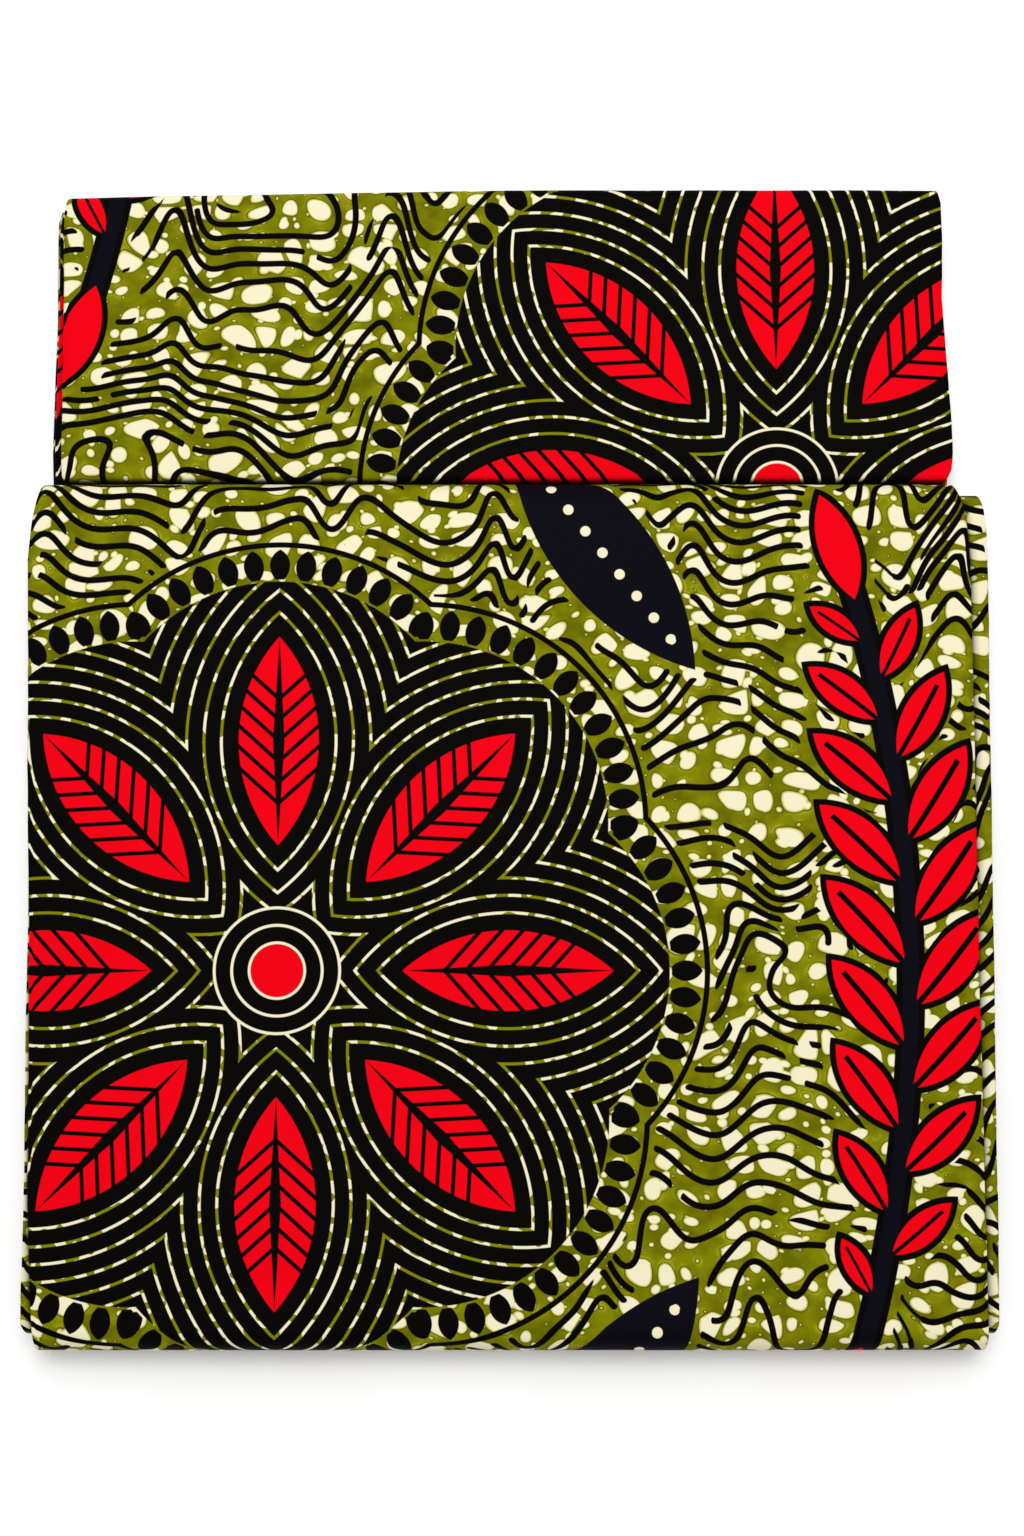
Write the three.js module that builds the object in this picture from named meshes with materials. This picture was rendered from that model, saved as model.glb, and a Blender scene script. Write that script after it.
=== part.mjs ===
// A six yard length of wax printed cotton, folded flat for the shelf.
//
// The cloth is folded in four along its length, which makes one long strip of four plies. The
// strip is then laid to and fro in a pile. Its lower layers run the whole length of the object.
// On them lie a thick front pile and a lower back pile, with a narrow crevice between the two,
// so that the back pile forms a step behind the front one.
//
// Millimetres. +X runs across the strip, +Y from the front edge to the back edge, +Z up. The
// origin is on the ground, in the middle of the outline.

import * as THREE from "three";
import { mergeVertices } from "three/addons/utils/BufferGeometryUtils.js";

// ---------------------------------------------------------------- driving dimensions

const STRIP_HALF_WIDTH = 146; // a 46 inch cloth folded in four
const STRIP_WALL = 1.4; // four plies of 0.3 mm cotton, with a little air
const SEAM_GAP = 0.3; // between one stretch of the strip and the next
const STRIP_PITCH = STRIP_WALL + SEAM_GAP;

const HALF_LENGTH = 180.2; // the outline reaches this far to the front and to the back
const HALF_WIDTH = 148; // and this far to the left and to the right
const CREVICE_FRONT = 84.7; // where the front pile ends
const CREVICE_BACK = 85.8; // where the back pile begins

const BASE_STRIPS = 6;
const FRONT_HIDDEN_STRIPS = 6;
const BACK_HIDDEN_STRIPS = 2;

const ROUND_REACH = 7; // how far along Y the front pile's outer stretch takes to turn over
const BACK_ROUND_REACH = 2.7; // the same for the back pile
const LOOP_OPENING = 6; // between the two ends of a stretch that goes all round a pile
const UNDER_FOLD_FRONT_INSET = 3.2; // the second stretch stops this much short of the front
const UNDER_FOLD_BACK_INSET = 1.6; // and this much short of the crevice

const EDGE_ROUND = 0.5; // how far the middle of a folded edge stands out from its faces
const SIDE_GROOVE = 0.9; // depth of the groove between two strips on the left and right
const ROLL_GROOVE = 1.5; // between two rolls at the front or back
const JOINED_GROOVE = 0.15; // where two strips are one roll, at the middle of its round
const CORNER_ROUND = 1.4; // how far a corner of the pile is drawn in
const EDGE_SLUMP = 0.04; // share of the height that is lost at the left and right edges
const SLUMP_STARTS = 114; // this far from the middle
const SLUMP_ENDS = 147;
const BACK_SLANT = 2.6; // the back edge lies this much nearer at its left end than in the middle
const SLANT_STARTS = 100; // this far back the slant begins
const SLANT_ENDS = 176;

// ---------------------------------------------------------------- heights, bottom to top

const stackHeight = (strips) => strips * STRIP_PITCH - SEAM_GAP;

const BASE = { bottom: 0, top: stackHeight(BASE_STRIPS) };
const STEP = { bottom: BASE.top + SEAM_GAP, top: BASE.top + STRIP_PITCH };
const PILES_BOTTOM = STEP.top + SEAM_GAP;

const LOOPS_ROUND_FRONT = 2; // the outer stretch and the one that shows beside it
const FRONT_HIDDEN = {
  bottom: PILES_BOTTOM + LOOPS_ROUND_FRONT * STRIP_PITCH,
  top: PILES_BOTTOM + LOOPS_ROUND_FRONT * STRIP_PITCH + stackHeight(FRONT_HIDDEN_STRIPS),
};
const FRONT_TOP = FRONT_HIDDEN.top + LOOPS_ROUND_FRONT * STRIP_PITCH;

const BACK_HIDDEN = {
  bottom: PILES_BOTTOM + STRIP_PITCH,
  top: PILES_BOTTOM + STRIP_PITCH + stackHeight(BACK_HIDDEN_STRIPS),
};
const BACK_TOP = BACK_HIDDEN.top + STRIP_PITCH;

// ---------------------------------------------------------------- edges of each stretch

// A row for each place along Y, from the front to the back: where the left and right edges are.

const FRONT_WRAP_EDGES = [
  { y: -HALF_LENGTH, left: -142.3, right: 143.8 },
  { y: -176, left: -142.9, right: 144.3 },
  { y: -164, left: -143.5, right: 144.2 },
  { y: -130, left: -144.9, right: 143.7 },
  { y: -75, left: -145.4, right: 143.1 },
  { y: 16, left: -147.1, right: 142.6 },
  { y: 60, left: -147.9, right: 142.3 },
  { y: 72, left: -147.0, right: 141.2 },
  { y: 78.8, left: -145.6, right: 139.7 },
  { y: CREVICE_FRONT, left: -144.4, right: 137.8 },
];

const UNDER_FOLD_EDGES = [
  { y: -175.3, left: -145.3, right: 146.9 },
  { y: -172, left: -146.5, right: 147.8 },
  { y: -120, left: -146.4, right: 147.8 },
  { y: 0, left: -146.2, right: HALF_WIDTH },
  { y: 60, left: -145.8, right: HALF_WIDTH },
  { y: 70, left: -145.4, right: 147.8 },
  { y: 76, left: -145.0, right: 147.0 },
  { y: 81.5, left: -144.0, right: 145.2 },
];

const BACK_WRAP_EDGES = [
  { y: CREVICE_BACK, left: -138.4, right: 135.0 },
  { y: 88, left: -139.3, right: 137.6 },
  { y: 91, left: -139.6, right: 138.9 },
  { y: 97, left: -139.8, right: 139.3 },
  { y: 112, left: -139.8, right: 138.6 },
  { y: 128, left: -139.8, right: 137.5 },
  { y: 145, left: -139.8, right: 136.5 },
  { y: 164, left: -140.0, right: 136.8 },
  { y: 176, left: -139.9, right: 136.5 },
  { y: HALF_LENGTH, left: -138.8, right: 135.0 },
];

const STEP_STRIP_EDGES = [
  { y: -175.5, left: -143.6, right: 142.6 },
  { y: -172, left: -144.6, right: 143.4 },
  { y: 60, left: -144.4, right: 142.0 },
  { y: 86, left: -142.6, right: 137.8 },
  { y: 98, left: -143.0, right: 138.8 },
  { y: 146, left: -142.2, right: 136.0 },
  { y: 173, left: -142.4, right: 136.2 },
  { y: 176.6, left: -141.4, right: 135.0 },
];

// The outline of the base, and then a row for each of its strips, from the bottom up: how far it
// strays from that outline to the left and right, and where its front and back edges are.

const BASE_OUTLINE = [
  { y: -176, left: -144.6, right: 143.2 },
  { y: 60, left: -144.6, right: 142.2 },
  { y: 86, left: -143.0, right: 138.5 },
  { y: 98, left: -143.5, right: 139.6 },
  { y: 146, left: -142.7, right: 136.7 },
  { y: 176, left: -142.9, right: 136.8 },
];

const BASE_STRIP_EDGES = [
  { left: 0.5, right: -0.7, front: -176.2, back: 176.4 },
  { left: -0.4, right: 0.2, front: -176.9, back: 177.6 },
  { left: 0.1, right: 0.5, front: -177.7, back: 177.9 },
  { left: -0.6, right: -0.3, front: -177.9, back: 176.8 },
  { left: 0.1, right: 0.3, front: -177.0, back: 177.1 },
  { left: -0.5, right: -0.5, front: -177.4, back: 177.7 },
];

// The front and back edges of the strips inside a pile follow the round of the stretch that is
// folded over them, so these rows say only how far each one stops short of it.

const FRONT_STRIP_EDGES = [
  { left: -143.6, right: 142.4, frontShort: 0.8, backShort: 1.4 },
  { left: -145.2, right: 143.8, frontShort: 0.7, backShort: 0.9 },
  { left: -144.4, right: 142.8, frontShort: 0.9, backShort: 0.4 },
  { left: -146.0, right: 144.6, frontShort: 1.2, backShort: 0.6 },
  { left: -145.0, right: 143.4, frontShort: 0.6, backShort: 1.2 },
  { left: -145.8, right: 144.8, frontShort: 0.8, backShort: 1.0 },
];

const BACK_STRIP_EDGES = [
  { left: -139.0, right: 135.3, frontShort: 0.5, backShort: 0.7 },
  { left: -139.5, right: 135.8, frontShort: 0.8, backShort: 0.4 },
];

// ---------------------------------------------------------------- grids on which all is built

const EDGE_INSETS = [3.2, 9]; // the first lines of a grid, in from each edge
const SLUMP_SHARES = [0.86, 0.74]; // further lines, where the surface bends down to the sides
const MIDDLE_SHARES = [0.5];
const LONG_SHARES = [0.825, 0.554, 0.486, 0.339]; // for the pieces that run the whole length
const THROUGH_WALL = [-1, 0, 1]; // inner face, middle, outer face
const STRIP_PARTS = [0, 1 / 3, 2 / 3]; // levels within one strip of a layered block
const ARC_STEPS = 8;
const LEG_PARTS = [0.04, 0.25, 0.5, 0.75, 0.96]; // inner stations on a straight leg

const mix = (a, b, t) => a + (b - a) * t;

/** The lines of a grid, as shares of a half size from -1 to 1, close together at the edges. */
function gridShares(half, innerShares) {
  const positive = [...EDGE_INSETS.map((inset) => 1 - inset / half), ...innerShares];
  return [-1, ...positive.map((share) => -share), 0, ...positive.reverse(), 1];
}

const ACROSS = gridShares(STRIP_HALF_WIDTH, SLUMP_SHARES);

/**
 * Where a point lies after the pile has settled: its left and right edges sink, the ground stays,
 * and the back edge slants a little on the left.
 */
function settled(x, y, z) {
  const slump = EDGE_SLUMP * THREE.MathUtils.smoothstep(Math.abs(x), SLUMP_STARTS, SLUMP_ENDS);
  const leftShare = Math.max(-x / STRIP_HALF_WIDTH, 0);
  const slant = BACK_SLANT * leftShare * THREE.MathUtils.smoothstep(y, SLANT_STARTS, SLANT_ENDS);
  return [x, y - slant, z * (1 - slump)];
}

/** The left and right edges of a stretch at one place along Y, from its table. */
function edgesAt(table, y) {
  const last = table.length - 1;
  if (y <= table[0].y) return table[0];
  if (y >= table[last].y) return table[last];
  const above = table.findIndex((row) => row.y > y);
  const low = table[above - 1];
  const high = table[above];
  const share = (y - low.y) / (high.y - low.y);
  return { left: mix(low.left, high.left, share), right: mix(low.right, high.right, share) };
}

/** A closed block whose skin is a grid. Each point of the grid goes where `place` puts it. */
function griddedBlock(columns, rows, levels, place) {
  const cells = [columns.length - 1, rows.length - 1, levels.length - 1];
  const box = new THREE.BoxGeometry(...cells, ...cells);
  box.deleteAttribute("normal");
  box.deleteAttribute("uv");
  const skin = mergeVertices(box);
  const points = skin.getAttribute("position");
  for (let n = 0; n < points.count; n += 1) {
    const column = columns[Math.round(points.getX(n) + cells[0] / 2)];
    const row = rows[Math.round(points.getY(n) + cells[1] / 2)];
    const level = levels[Math.round(points.getZ(n) + cells[2] / 2)];
    points.setXYZ(n, ...place(column, row, level));
  }
  skin.computeVertexNormals();
  return skin;
}

// ---------------------------------------------------------------- stretches of the strip

/** A wall of four plies that runs along a path in Y and Z. */
function stripAlong(path, edges) {
  const last = path.length - 1;
  const place = (across, station, through) => {
    const at = path[station];
    const { left, right } = edgesAt(edges, at.y);
    const isEdge = Math.abs(across) === 1;
    const isFace = through !== 0;
    const narrower = isEdge && isFace ? EDGE_ROUND : 0;
    const halfWidth = (right - left) / 2 - narrower;
    const x = (left + right) / 2 + across * halfWidth;
    const isEnd = station === 0 || station === last;
    const back = isEnd && isFace ? (station === 0 ? EDGE_ROUND : -EDGE_ROUND) : 0;
    const out = (through * STRIP_WALL) / 2;
    const y = at.y + at.normalY * out + at.normalZ * back;
    const z = at.z + at.normalZ * out - at.normalY * back;
    return settled(x, y, z);
  };
  return griddedBlock(ACROSS, [...path.keys()], THROUGH_WALL, place);
}

/**
 * Half an oval round one end of a pile, at an even depth under it. It goes from `start` degrees,
 * where 0 is straight to the back, and turns with the clock.
 */
function endArc(centre, { reach, rise, depth }, start) {
  const stations = [];
  for (let step = 0; step <= ARC_STEPS; step += 1) {
    const angle = THREE.MathUtils.degToRad(start - (180 * step) / ARC_STEPS);
    const slope = Math.hypot(Math.cos(angle) * rise, Math.sin(angle) * reach);
    const normalY = (rise * Math.cos(angle)) / slope;
    const normalZ = (reach * Math.sin(angle)) / slope;
    stations.push({
      y: centre.y + reach * Math.cos(angle) - normalY * depth,
      z: centre.z + rise * Math.sin(angle) - normalZ * depth,
      normalY,
      normalZ,
    });
  }
  return stations;
}

/** Level stations between two places along Y. */
function leg(fromY, toY, z, normalZ) {
  return LEG_PARTS.map((part) => ({ y: mix(fromY, toY, part), z, normalY: 0, normalZ }));
}

/**
 * The path of a stretch that goes all round a pile, so many stretches in from the outside: along
 * the bottom to the front, up round the front end, along the top to the back, and down round the
 * back end, where it stops.
 */
function loopPath({ front, back, bottom, top, reach, stretchesIn }) {
  const rise = (top - bottom) / 2;
  const depth = stretchesIn * STRIP_PITCH + STRIP_WALL / 2;
  const oval = { reach, rise, depth };
  const midZ = (top + bottom) / 2;
  const frontY = front + reach;
  const backY = back - reach;
  const stop = { y: backY - LOOP_OPENING, z: bottom + depth, normalY: 0, normalZ: -1 };
  return [
    stop,
    ...leg(stop.y, frontY, bottom + depth, -1),
    ...endArc({ y: frontY, z: midZ }, oval, 270),
    ...leg(frontY, backY, top - depth, 1),
    ...endArc({ y: backY, z: midZ }, oval, 90),
  ];
}

/** A stretch that runs flat, straight along Y. */
function flatPath(edges, { bottom, top }) {
  const front = edges[0].y;
  const back = edges[edges.length - 1].y;
  const middle = (back + front) / 2;
  const half = (back - front) / 2;
  const z = (bottom + top) / 2;
  const shares = gridShares(half, LONG_SHARES);
  return shares.map((share) => ({ y: middle + half * share, z, normalY: 0, normalZ: 1 }));
}

const FRONT_LOOP = {
  front: -HALF_LENGTH,
  back: CREVICE_FRONT,
  bottom: PILES_BOTTOM,
  top: FRONT_TOP,
  reach: ROUND_REACH,
  stretchesIn: 0,
};

const UNDER_LOOP = {
  ...FRONT_LOOP,
  front: -HALF_LENGTH + UNDER_FOLD_FRONT_INSET,
  back: CREVICE_FRONT - UNDER_FOLD_BACK_INSET,
  stretchesIn: 1,
};

const BACK_LOOP = {
  front: CREVICE_BACK,
  back: HALF_LENGTH,
  bottom: PILES_BOTTOM,
  top: BACK_TOP,
  reach: BACK_ROUND_REACH,
  stretchesIn: 0,
};

// ---------------------------------------------------------------- blocks of hidden layers

/** The levels of a layered block, as strip numbers with a part of a strip. */
function layerLevels(strips) {
  const levels = [];
  for (let strip = 0; strip < strips; strip += 1) {
    levels.push(...STRIP_PARTS.map((part) => strip + part));
  }
  return [...levels, strips];
}

/** The edges at one level: those of its strip, or between two strips the mean of both. */
function layerEdges(rows, level) {
  const strip = Math.min(Math.floor(level), rows.length - 1);
  const row = rows[strip];
  if (!Number.isInteger(level) || strip === 0 || level === rows.length) return row;
  const below = rows[strip - 1];
  return Object.fromEntries(
    Object.keys(row).map((name) => [name, mix(below[name], row[name], 0.5)]),
  );
}

/**
 * How far the skin is drawn in at one level. On the left and right every strip has an edge of
 * its own. At the front, strips 1 and 2 are one roll, then 3 and 4. At the back it is 2 and 3.
 */
function grooves(level, strips) {
  if (!Number.isInteger(level)) return { side: 0, front: 0, back: 0 };
  const isOutside = level === 0 || level === strips;
  const isEven = level % 2 === 0;
  return {
    side: SIDE_GROOVE,
    front: isEven || isOutside ? ROLL_GROOVE : JOINED_GROOVE,
    back: isEven && !isOutside ? JOINED_GROOVE : ROLL_GROOVE,
  };
}

/**
 * A block of hidden strips with its layers showing all round, and a plain top and bottom. Where it
 * has an outline, the left and right edges in the rows count from that.
 */
function layeredBlock({ bottom, top }, rows, endsAt, { outline, innerShares }) {
  const place = (across, along, level) => {
    const z = mix(bottom, top, level / rows.length);
    const edges = layerEdges(rows, level);
    const { front, back } = endsAt(edges, z);
    const groove = grooves(level, rows.length);
    const isSide = Math.abs(across) === 1;
    const isEnd = Math.abs(along) === 1;
    const corner = isSide && isEnd ? CORNER_ROUND : 0;
    const sideIn = isSide ? groove.side + corner : 0;
    const endIn = isEnd ? (along < 0 ? groove.front : groove.back) + corner : 0;
    const y = mix(front, back, (along + 1) / 2);
    const from = edgesAt(outline, y);
    const x = mix(from.left + edges.left, from.right + edges.right, (across + 1) / 2);
    return settled(x - Math.sign(across) * sideIn, y - Math.sign(along) * endIn, z);
  };
  const length = endsAt(rows[0], bottom);
  const along = gridShares((length.back - length.front) / 2, innerShares);
  return griddedBlock(ACROSS, along, layerLevels(rows.length), place);
}

/** The front and back ends of a strip inside a loop, which follow the round of its inner face. */
function endsInside(loop) {
  const depth = loop.stretchesIn * STRIP_PITCH + STRIP_WALL;
  const midZ = (loop.top + loop.bottom) / 2;
  const rise = (loop.top - loop.bottom) / 2 - depth;
  const reach = loop.reach - depth;
  return (edges, z) => {
    const height = Math.min(Math.abs(z - midZ) / rise, 1);
    const inset = depth + reach * (1 - Math.sqrt(1 - height * height));
    return {
      front: loop.front + inset + edges.frontShort,
      back: loop.back - inset - edges.backShort,
    };
  };
}

// ---------------------------------------------------------------- sub-parts

const frontWrap = () => stripAlong(loopPath(FRONT_LOOP), FRONT_WRAP_EDGES);

const frontUnderFold = () => stripAlong(loopPath(UNDER_LOOP), UNDER_FOLD_EDGES);

const insidePile = { outline: [{ y: 0, left: 0, right: 0 }], innerShares: MIDDLE_SHARES };

const frontLayers = () =>
  layeredBlock(FRONT_HIDDEN, FRONT_STRIP_EDGES, endsInside(UNDER_LOOP), insidePile);

const backWrap = () => stripAlong(loopPath(BACK_LOOP), BACK_WRAP_EDGES);

const backLayers = () =>
  layeredBlock(BACK_HIDDEN, BACK_STRIP_EDGES, endsInside(BACK_LOOP), insidePile);

const stepStrip = () => stripAlong(flatPath(STEP_STRIP_EDGES, STEP), STEP_STRIP_EDGES);

const baseLayers = () =>
  layeredBlock(BASE, BASE_STRIP_EDGES, (edges) => edges, {
    outline: BASE_OUTLINE,
    innerShares: LONG_SHARES,
  });

/** Printed cotton: dull, with only a little of the finish that the mill puts on it. */
function printedCotton(color) {
  return new THREE.MeshStandardMaterial({ color, roughness: 0.7, metalness: 0 });
}

function clothPiece(name, geometry, color) {
  const piece = new THREE.Mesh(geometry, printedCotton(color));
  piece.name = name;
  return piece;
}

const OLIVE = 0x80800a;
const DEEP_OLIVE = 0x5f600c;
const BLACK_PRINT = 0x0c0d0c;
const RED_PRINT = 0xf20318;

const foldedCloth = new THREE.Group();
foldedCloth.name = "folded_cloth";
foldedCloth.add(
  clothPiece("base_layers", baseLayers(), DEEP_OLIVE),
  clothPiece("step_strip", stepStrip(), BLACK_PRINT),
  clothPiece("back_layers", backLayers(), DEEP_OLIVE),
  clothPiece("back_wrap", backWrap(), OLIVE),
  clothPiece("front_layers", frontLayers(), DEEP_OLIVE),
  clothPiece("front_under_fold", frontUnderFold(), RED_PRINT),
  clothPiece("front_wrap", frontWrap(), OLIVE),
);

export default foldedCloth;
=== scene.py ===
"""A six yard length of wax printed cotton, folded flat for the shelf.

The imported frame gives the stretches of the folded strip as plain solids. This script puts a
finer piece of cloth in the place of each one: the same folds, with the plies at their edges, soft
creases and the print. All lengths are in millimetres until a mesh is written, which is in metres.
"""

from __future__ import annotations

import ast
import logging
import math
from dataclasses import asdict, dataclass, field
from enum import Enum

import bmesh
import bpy
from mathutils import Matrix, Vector, noise

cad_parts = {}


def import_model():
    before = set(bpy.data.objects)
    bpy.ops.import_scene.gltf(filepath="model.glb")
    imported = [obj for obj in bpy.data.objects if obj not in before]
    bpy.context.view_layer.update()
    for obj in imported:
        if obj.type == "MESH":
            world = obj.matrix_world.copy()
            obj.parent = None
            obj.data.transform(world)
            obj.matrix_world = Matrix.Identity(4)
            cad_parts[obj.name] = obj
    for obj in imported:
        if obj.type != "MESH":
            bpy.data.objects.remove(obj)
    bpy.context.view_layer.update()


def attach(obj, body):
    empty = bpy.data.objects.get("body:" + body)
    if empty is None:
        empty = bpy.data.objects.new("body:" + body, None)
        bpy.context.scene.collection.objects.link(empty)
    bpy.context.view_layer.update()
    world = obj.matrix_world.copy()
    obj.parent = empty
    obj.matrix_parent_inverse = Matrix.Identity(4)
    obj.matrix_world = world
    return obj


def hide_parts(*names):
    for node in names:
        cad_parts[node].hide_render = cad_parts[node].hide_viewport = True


LOG = logging.getLogger("folded_cloth")

MM = 0.001
NO_LENGTH = 1e-5  # an edge of the unit cube that is shorter than this along an axis lies across it
CLOTH_MAP = "cloth"  # the UV map that holds each point's place on the flat cloth, in metres

# The folded strip: the cloth is folded in four along its length, which makes it four plies thick.
PLIES = 4
STRIP_WIDTH = 292.5
STRIP_WALL = 1.4
SEAM_GAP = 0.3
STRIP_PITCH = STRIP_WALL + SEAM_GAP
PATH_END = 2.0  # the length of the last cells of a path, next to the round ends
FACES_UP = 0.999  # a face whose normal rises by more than this is level

# The outline of the folded length.
HALF_LENGTH = 180.2
HALF_WIDTH = 148.0
CREVICE_FRONT = 84.7
CREVICE_BACK = 85.8

Point = tuple[float, float, float]
GridIndex = tuple[int, int, int]
NoiseRow = tuple[float, float]  # a line of the noise, as its place and its seed


# ------------------------------------------------------------------ small sums


def mix(a: float, b: float, share: float) -> float:
    """Return the value that lies a share of the way from a to b."""
    return a + (b - a) * share


def smooth_step(value: float, start: float, end: float) -> float:
    """Return 0 before start and 1 after end, with a soft rise between them."""
    share = min(max((value - start) / (end - start), 0.0), 1.0)
    return share * share * (3 - 2 * share)


def soft_noise(x: float, y: float, seed: float) -> float:
    """Return a smooth value from about -1 to 1 that wanders over the plane."""
    return noise.noise(Vector((x, y, seed)))


def round_inset(share: float, height: float) -> float:
    """Return how far a round edge is drawn in.

    Args:
        share: Where on the edge, from 0 at its lower side to 1 at its upper side.
        height: The height of the edge, which is twice the radius of its round.

    Returns:
        The distance in from the edge's foremost line.
    """
    across = 2 * share - 1
    return height / 2 * (1 - math.sqrt(max(1 - across * across, 0.0)))


def grid_lines(size: float, first: float, spacing: float) -> list[float]:
    """Return the places of a grid's lines from 0 to size.

    Args:
        size: The width that the grid spans.
        first: The distance from each edge to the line next to it.
        spacing: The largest distance between the lines further in.

    Returns:
        The places, in rising order.
    """
    steps = max(math.ceil((size - 2 * first) / spacing), 1)
    inner = [mix(first, size - first, step / steps) for step in range(steps + 1)]
    return [0.0, *inner, size]


@dataclass(frozen=True)
class EdgeRow:
    """Where the left and right edges are at one place along Y."""

    y: float
    left: float
    right: float


def edges_at(rows: tuple[EdgeRow, ...], y: float) -> tuple[float, float]:
    """Look up where the edges are at a place along Y.

    Args:
        rows: The edges at some places, in rising order of Y.
        y: The place along Y.

    Returns:
        The left and the right edge.
    """
    if y <= rows[0].y:
        return rows[0].left, rows[0].right
    for low, high in zip(rows, rows[1:]):
        if y <= high.y:
            share = (y - low.y) / (high.y - low.y)
            return mix(low.left, high.left, share), mix(low.right, high.right, share)
    return rows[-1].left, rows[-1].right


@dataclass(frozen=True)
class Stray:
    """How an edge wanders along its run: long waves with small ripples on them."""

    wave: float
    ripple: float
    ripple_share: float

    def at(self, run: float, wave_row: NoiseRow, ripple_row: NoiseRow) -> float:
        """Return how far the edge strays.

        Args:
            run: The place along the edge, in millimetres.
            wave_row: The line of the noise that gives the waves.
            ripple_row: The line of the noise that gives the ripples.

        Returns:
            A value from about -1 to 1.
        """
        wave = soft_noise(run / self.wave, *wave_row)
        return wave + self.ripple_share * soft_noise(run / self.ripple, *ripple_row)


# ------------------------------------------------------------------ how the piles have settled


@dataclass(frozen=True)
class Crease:
    """A soft trough or ridge that runs straight over the top of the piles.

    The place is its middle. The turn is in degrees from the X axis, against the clock, and a
    negative rise makes it a trough.
    """

    x: float
    y: float
    turn: float
    length: float
    width: float
    rise: float
    fade_starts: float = 0.2  # how far from its middle, as a share of its length
    widths_out: float = 3.0  # how many widths to each side it reaches

    def height_at(self, x: float, y: float) -> float:
        """Return how much it lifts the top sheet over a place.

        Args:
            x: The place across the pile.
            y: The place along the pile.

        Returns:
            The lift, which is 0 away from the crease.
        """
        angle = math.radians(self.turn)
        along = (x - self.x) * math.cos(angle) + (y - self.y) * math.sin(angle)
        aside = (y - self.y) * math.cos(angle) - (x - self.x) * math.sin(angle)
        if abs(along) > self.length / 2 or abs(aside) > self.widths_out * self.width:
            return 0.0
        fade = 1 - smooth_step(abs(along), self.length * self.fade_starts, self.length / 2)
        return self.rise * fade * math.exp(-((aside / self.width) ** 2))


@dataclass(frozen=True)
class Settling:
    """How the piles sink at their sides, slant at the back and crease on top."""

    side_slump: float = 0.04  # share of the height that is lost at the left and right edges
    slump_starts: float = 114.0
    slump_ends: float = 147.0
    back_slant: float = 2.6
    slant_starts: float = 100.0
    slant_ends: float = 176.0
    half_width: float = 146.0
    full_height: float = 28.0  # a crease has its whole depth here, and none on the ground
    depth_power: float = 1.5  # how fast a crease dies away below that
    creases: tuple[Crease, ...] = (
        Crease(x=-88, y=-162, turn=12, length=92, width=5.0, rise=-0.60),
        Crease(x=-30, y=-150, turn=-7, length=120, width=8.0, rise=0.40),
        Crease(x=64, y=-157, turn=5, length=110, width=6.5, rise=-0.50),
        Crease(x=121, y=-120, turn=78, length=84, width=4.5, rise=-0.55),
        Crease(x=-128, y=-66, turn=84, length=130, width=6.0, rise=-0.50),
        Crease(x=-98, y=-10, turn=71, length=96, width=9.0, rise=0.35),
        Crease(x=8, y=-62, turn=24, length=170, width=12.0, rise=-0.35),
        Crease(x=96, y=-30, turn=97, length=150, width=7.0, rise=0.40),
        Crease(x=52, y=34, turn=-14, length=128, width=9.0, rise=-0.40),
        Crease(x=-60, y=58, turn=6, length=140, width=6.0, rise=0.45),
        Crease(x=112, y=64, turn=-28, length=62, width=4.0, rise=-0.55),
        Crease(x=-118, y=66, turn=38, length=58, width=4.5, rise=-0.50),
        Crease(x=-84, y=114, turn=-9, length=104, width=7.0, rise=-0.50),
        Crease(x=20, y=141, turn=4, length=160, width=9.0, rise=0.40),
        Crease(x=92, y=118, turn=17, length=88, width=5.0, rise=-0.55),
        Crease(x=-20, y=165, turn=-3, length=120, width=5.0, rise=-0.40),
    )

    def move(self, x: float, y: float, z: float) -> Point:
        """Return where a point lies once the piles have settled.

        All stretches move alike at one place, so that none of them cuts through its neighbour.

        Args:
            x: The place across the pile.
            y: The place along the pile.
            z: The height in the pile as it was stacked.

        Returns:
            The settled point.
        """
        slump = self.side_slump * smooth_step(abs(x), self.slump_starts, self.slump_ends)
        left_share = max(-x / self.half_width, 0.0)
        slant = self.back_slant * left_share * smooth_step(y, self.slant_starts, self.slant_ends)
        lift = sum(crease.height_at(x, y) for crease in self.creases)
        rise = lift * min(z / self.full_height, 1.0) ** self.depth_power
        return x, y - slant, z * (1 - slump) + rise


SETTLING = Settling()


# ------------------------------------------------------------------ pieces on a grid


class Side(Enum):
    """The six sides of a gridded block."""

    LEFT = "left"
    RIGHT = "right"
    FRONT = "front"
    BACK = "back"
    BOTTOM = "bottom"
    TOP = "top"


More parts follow.
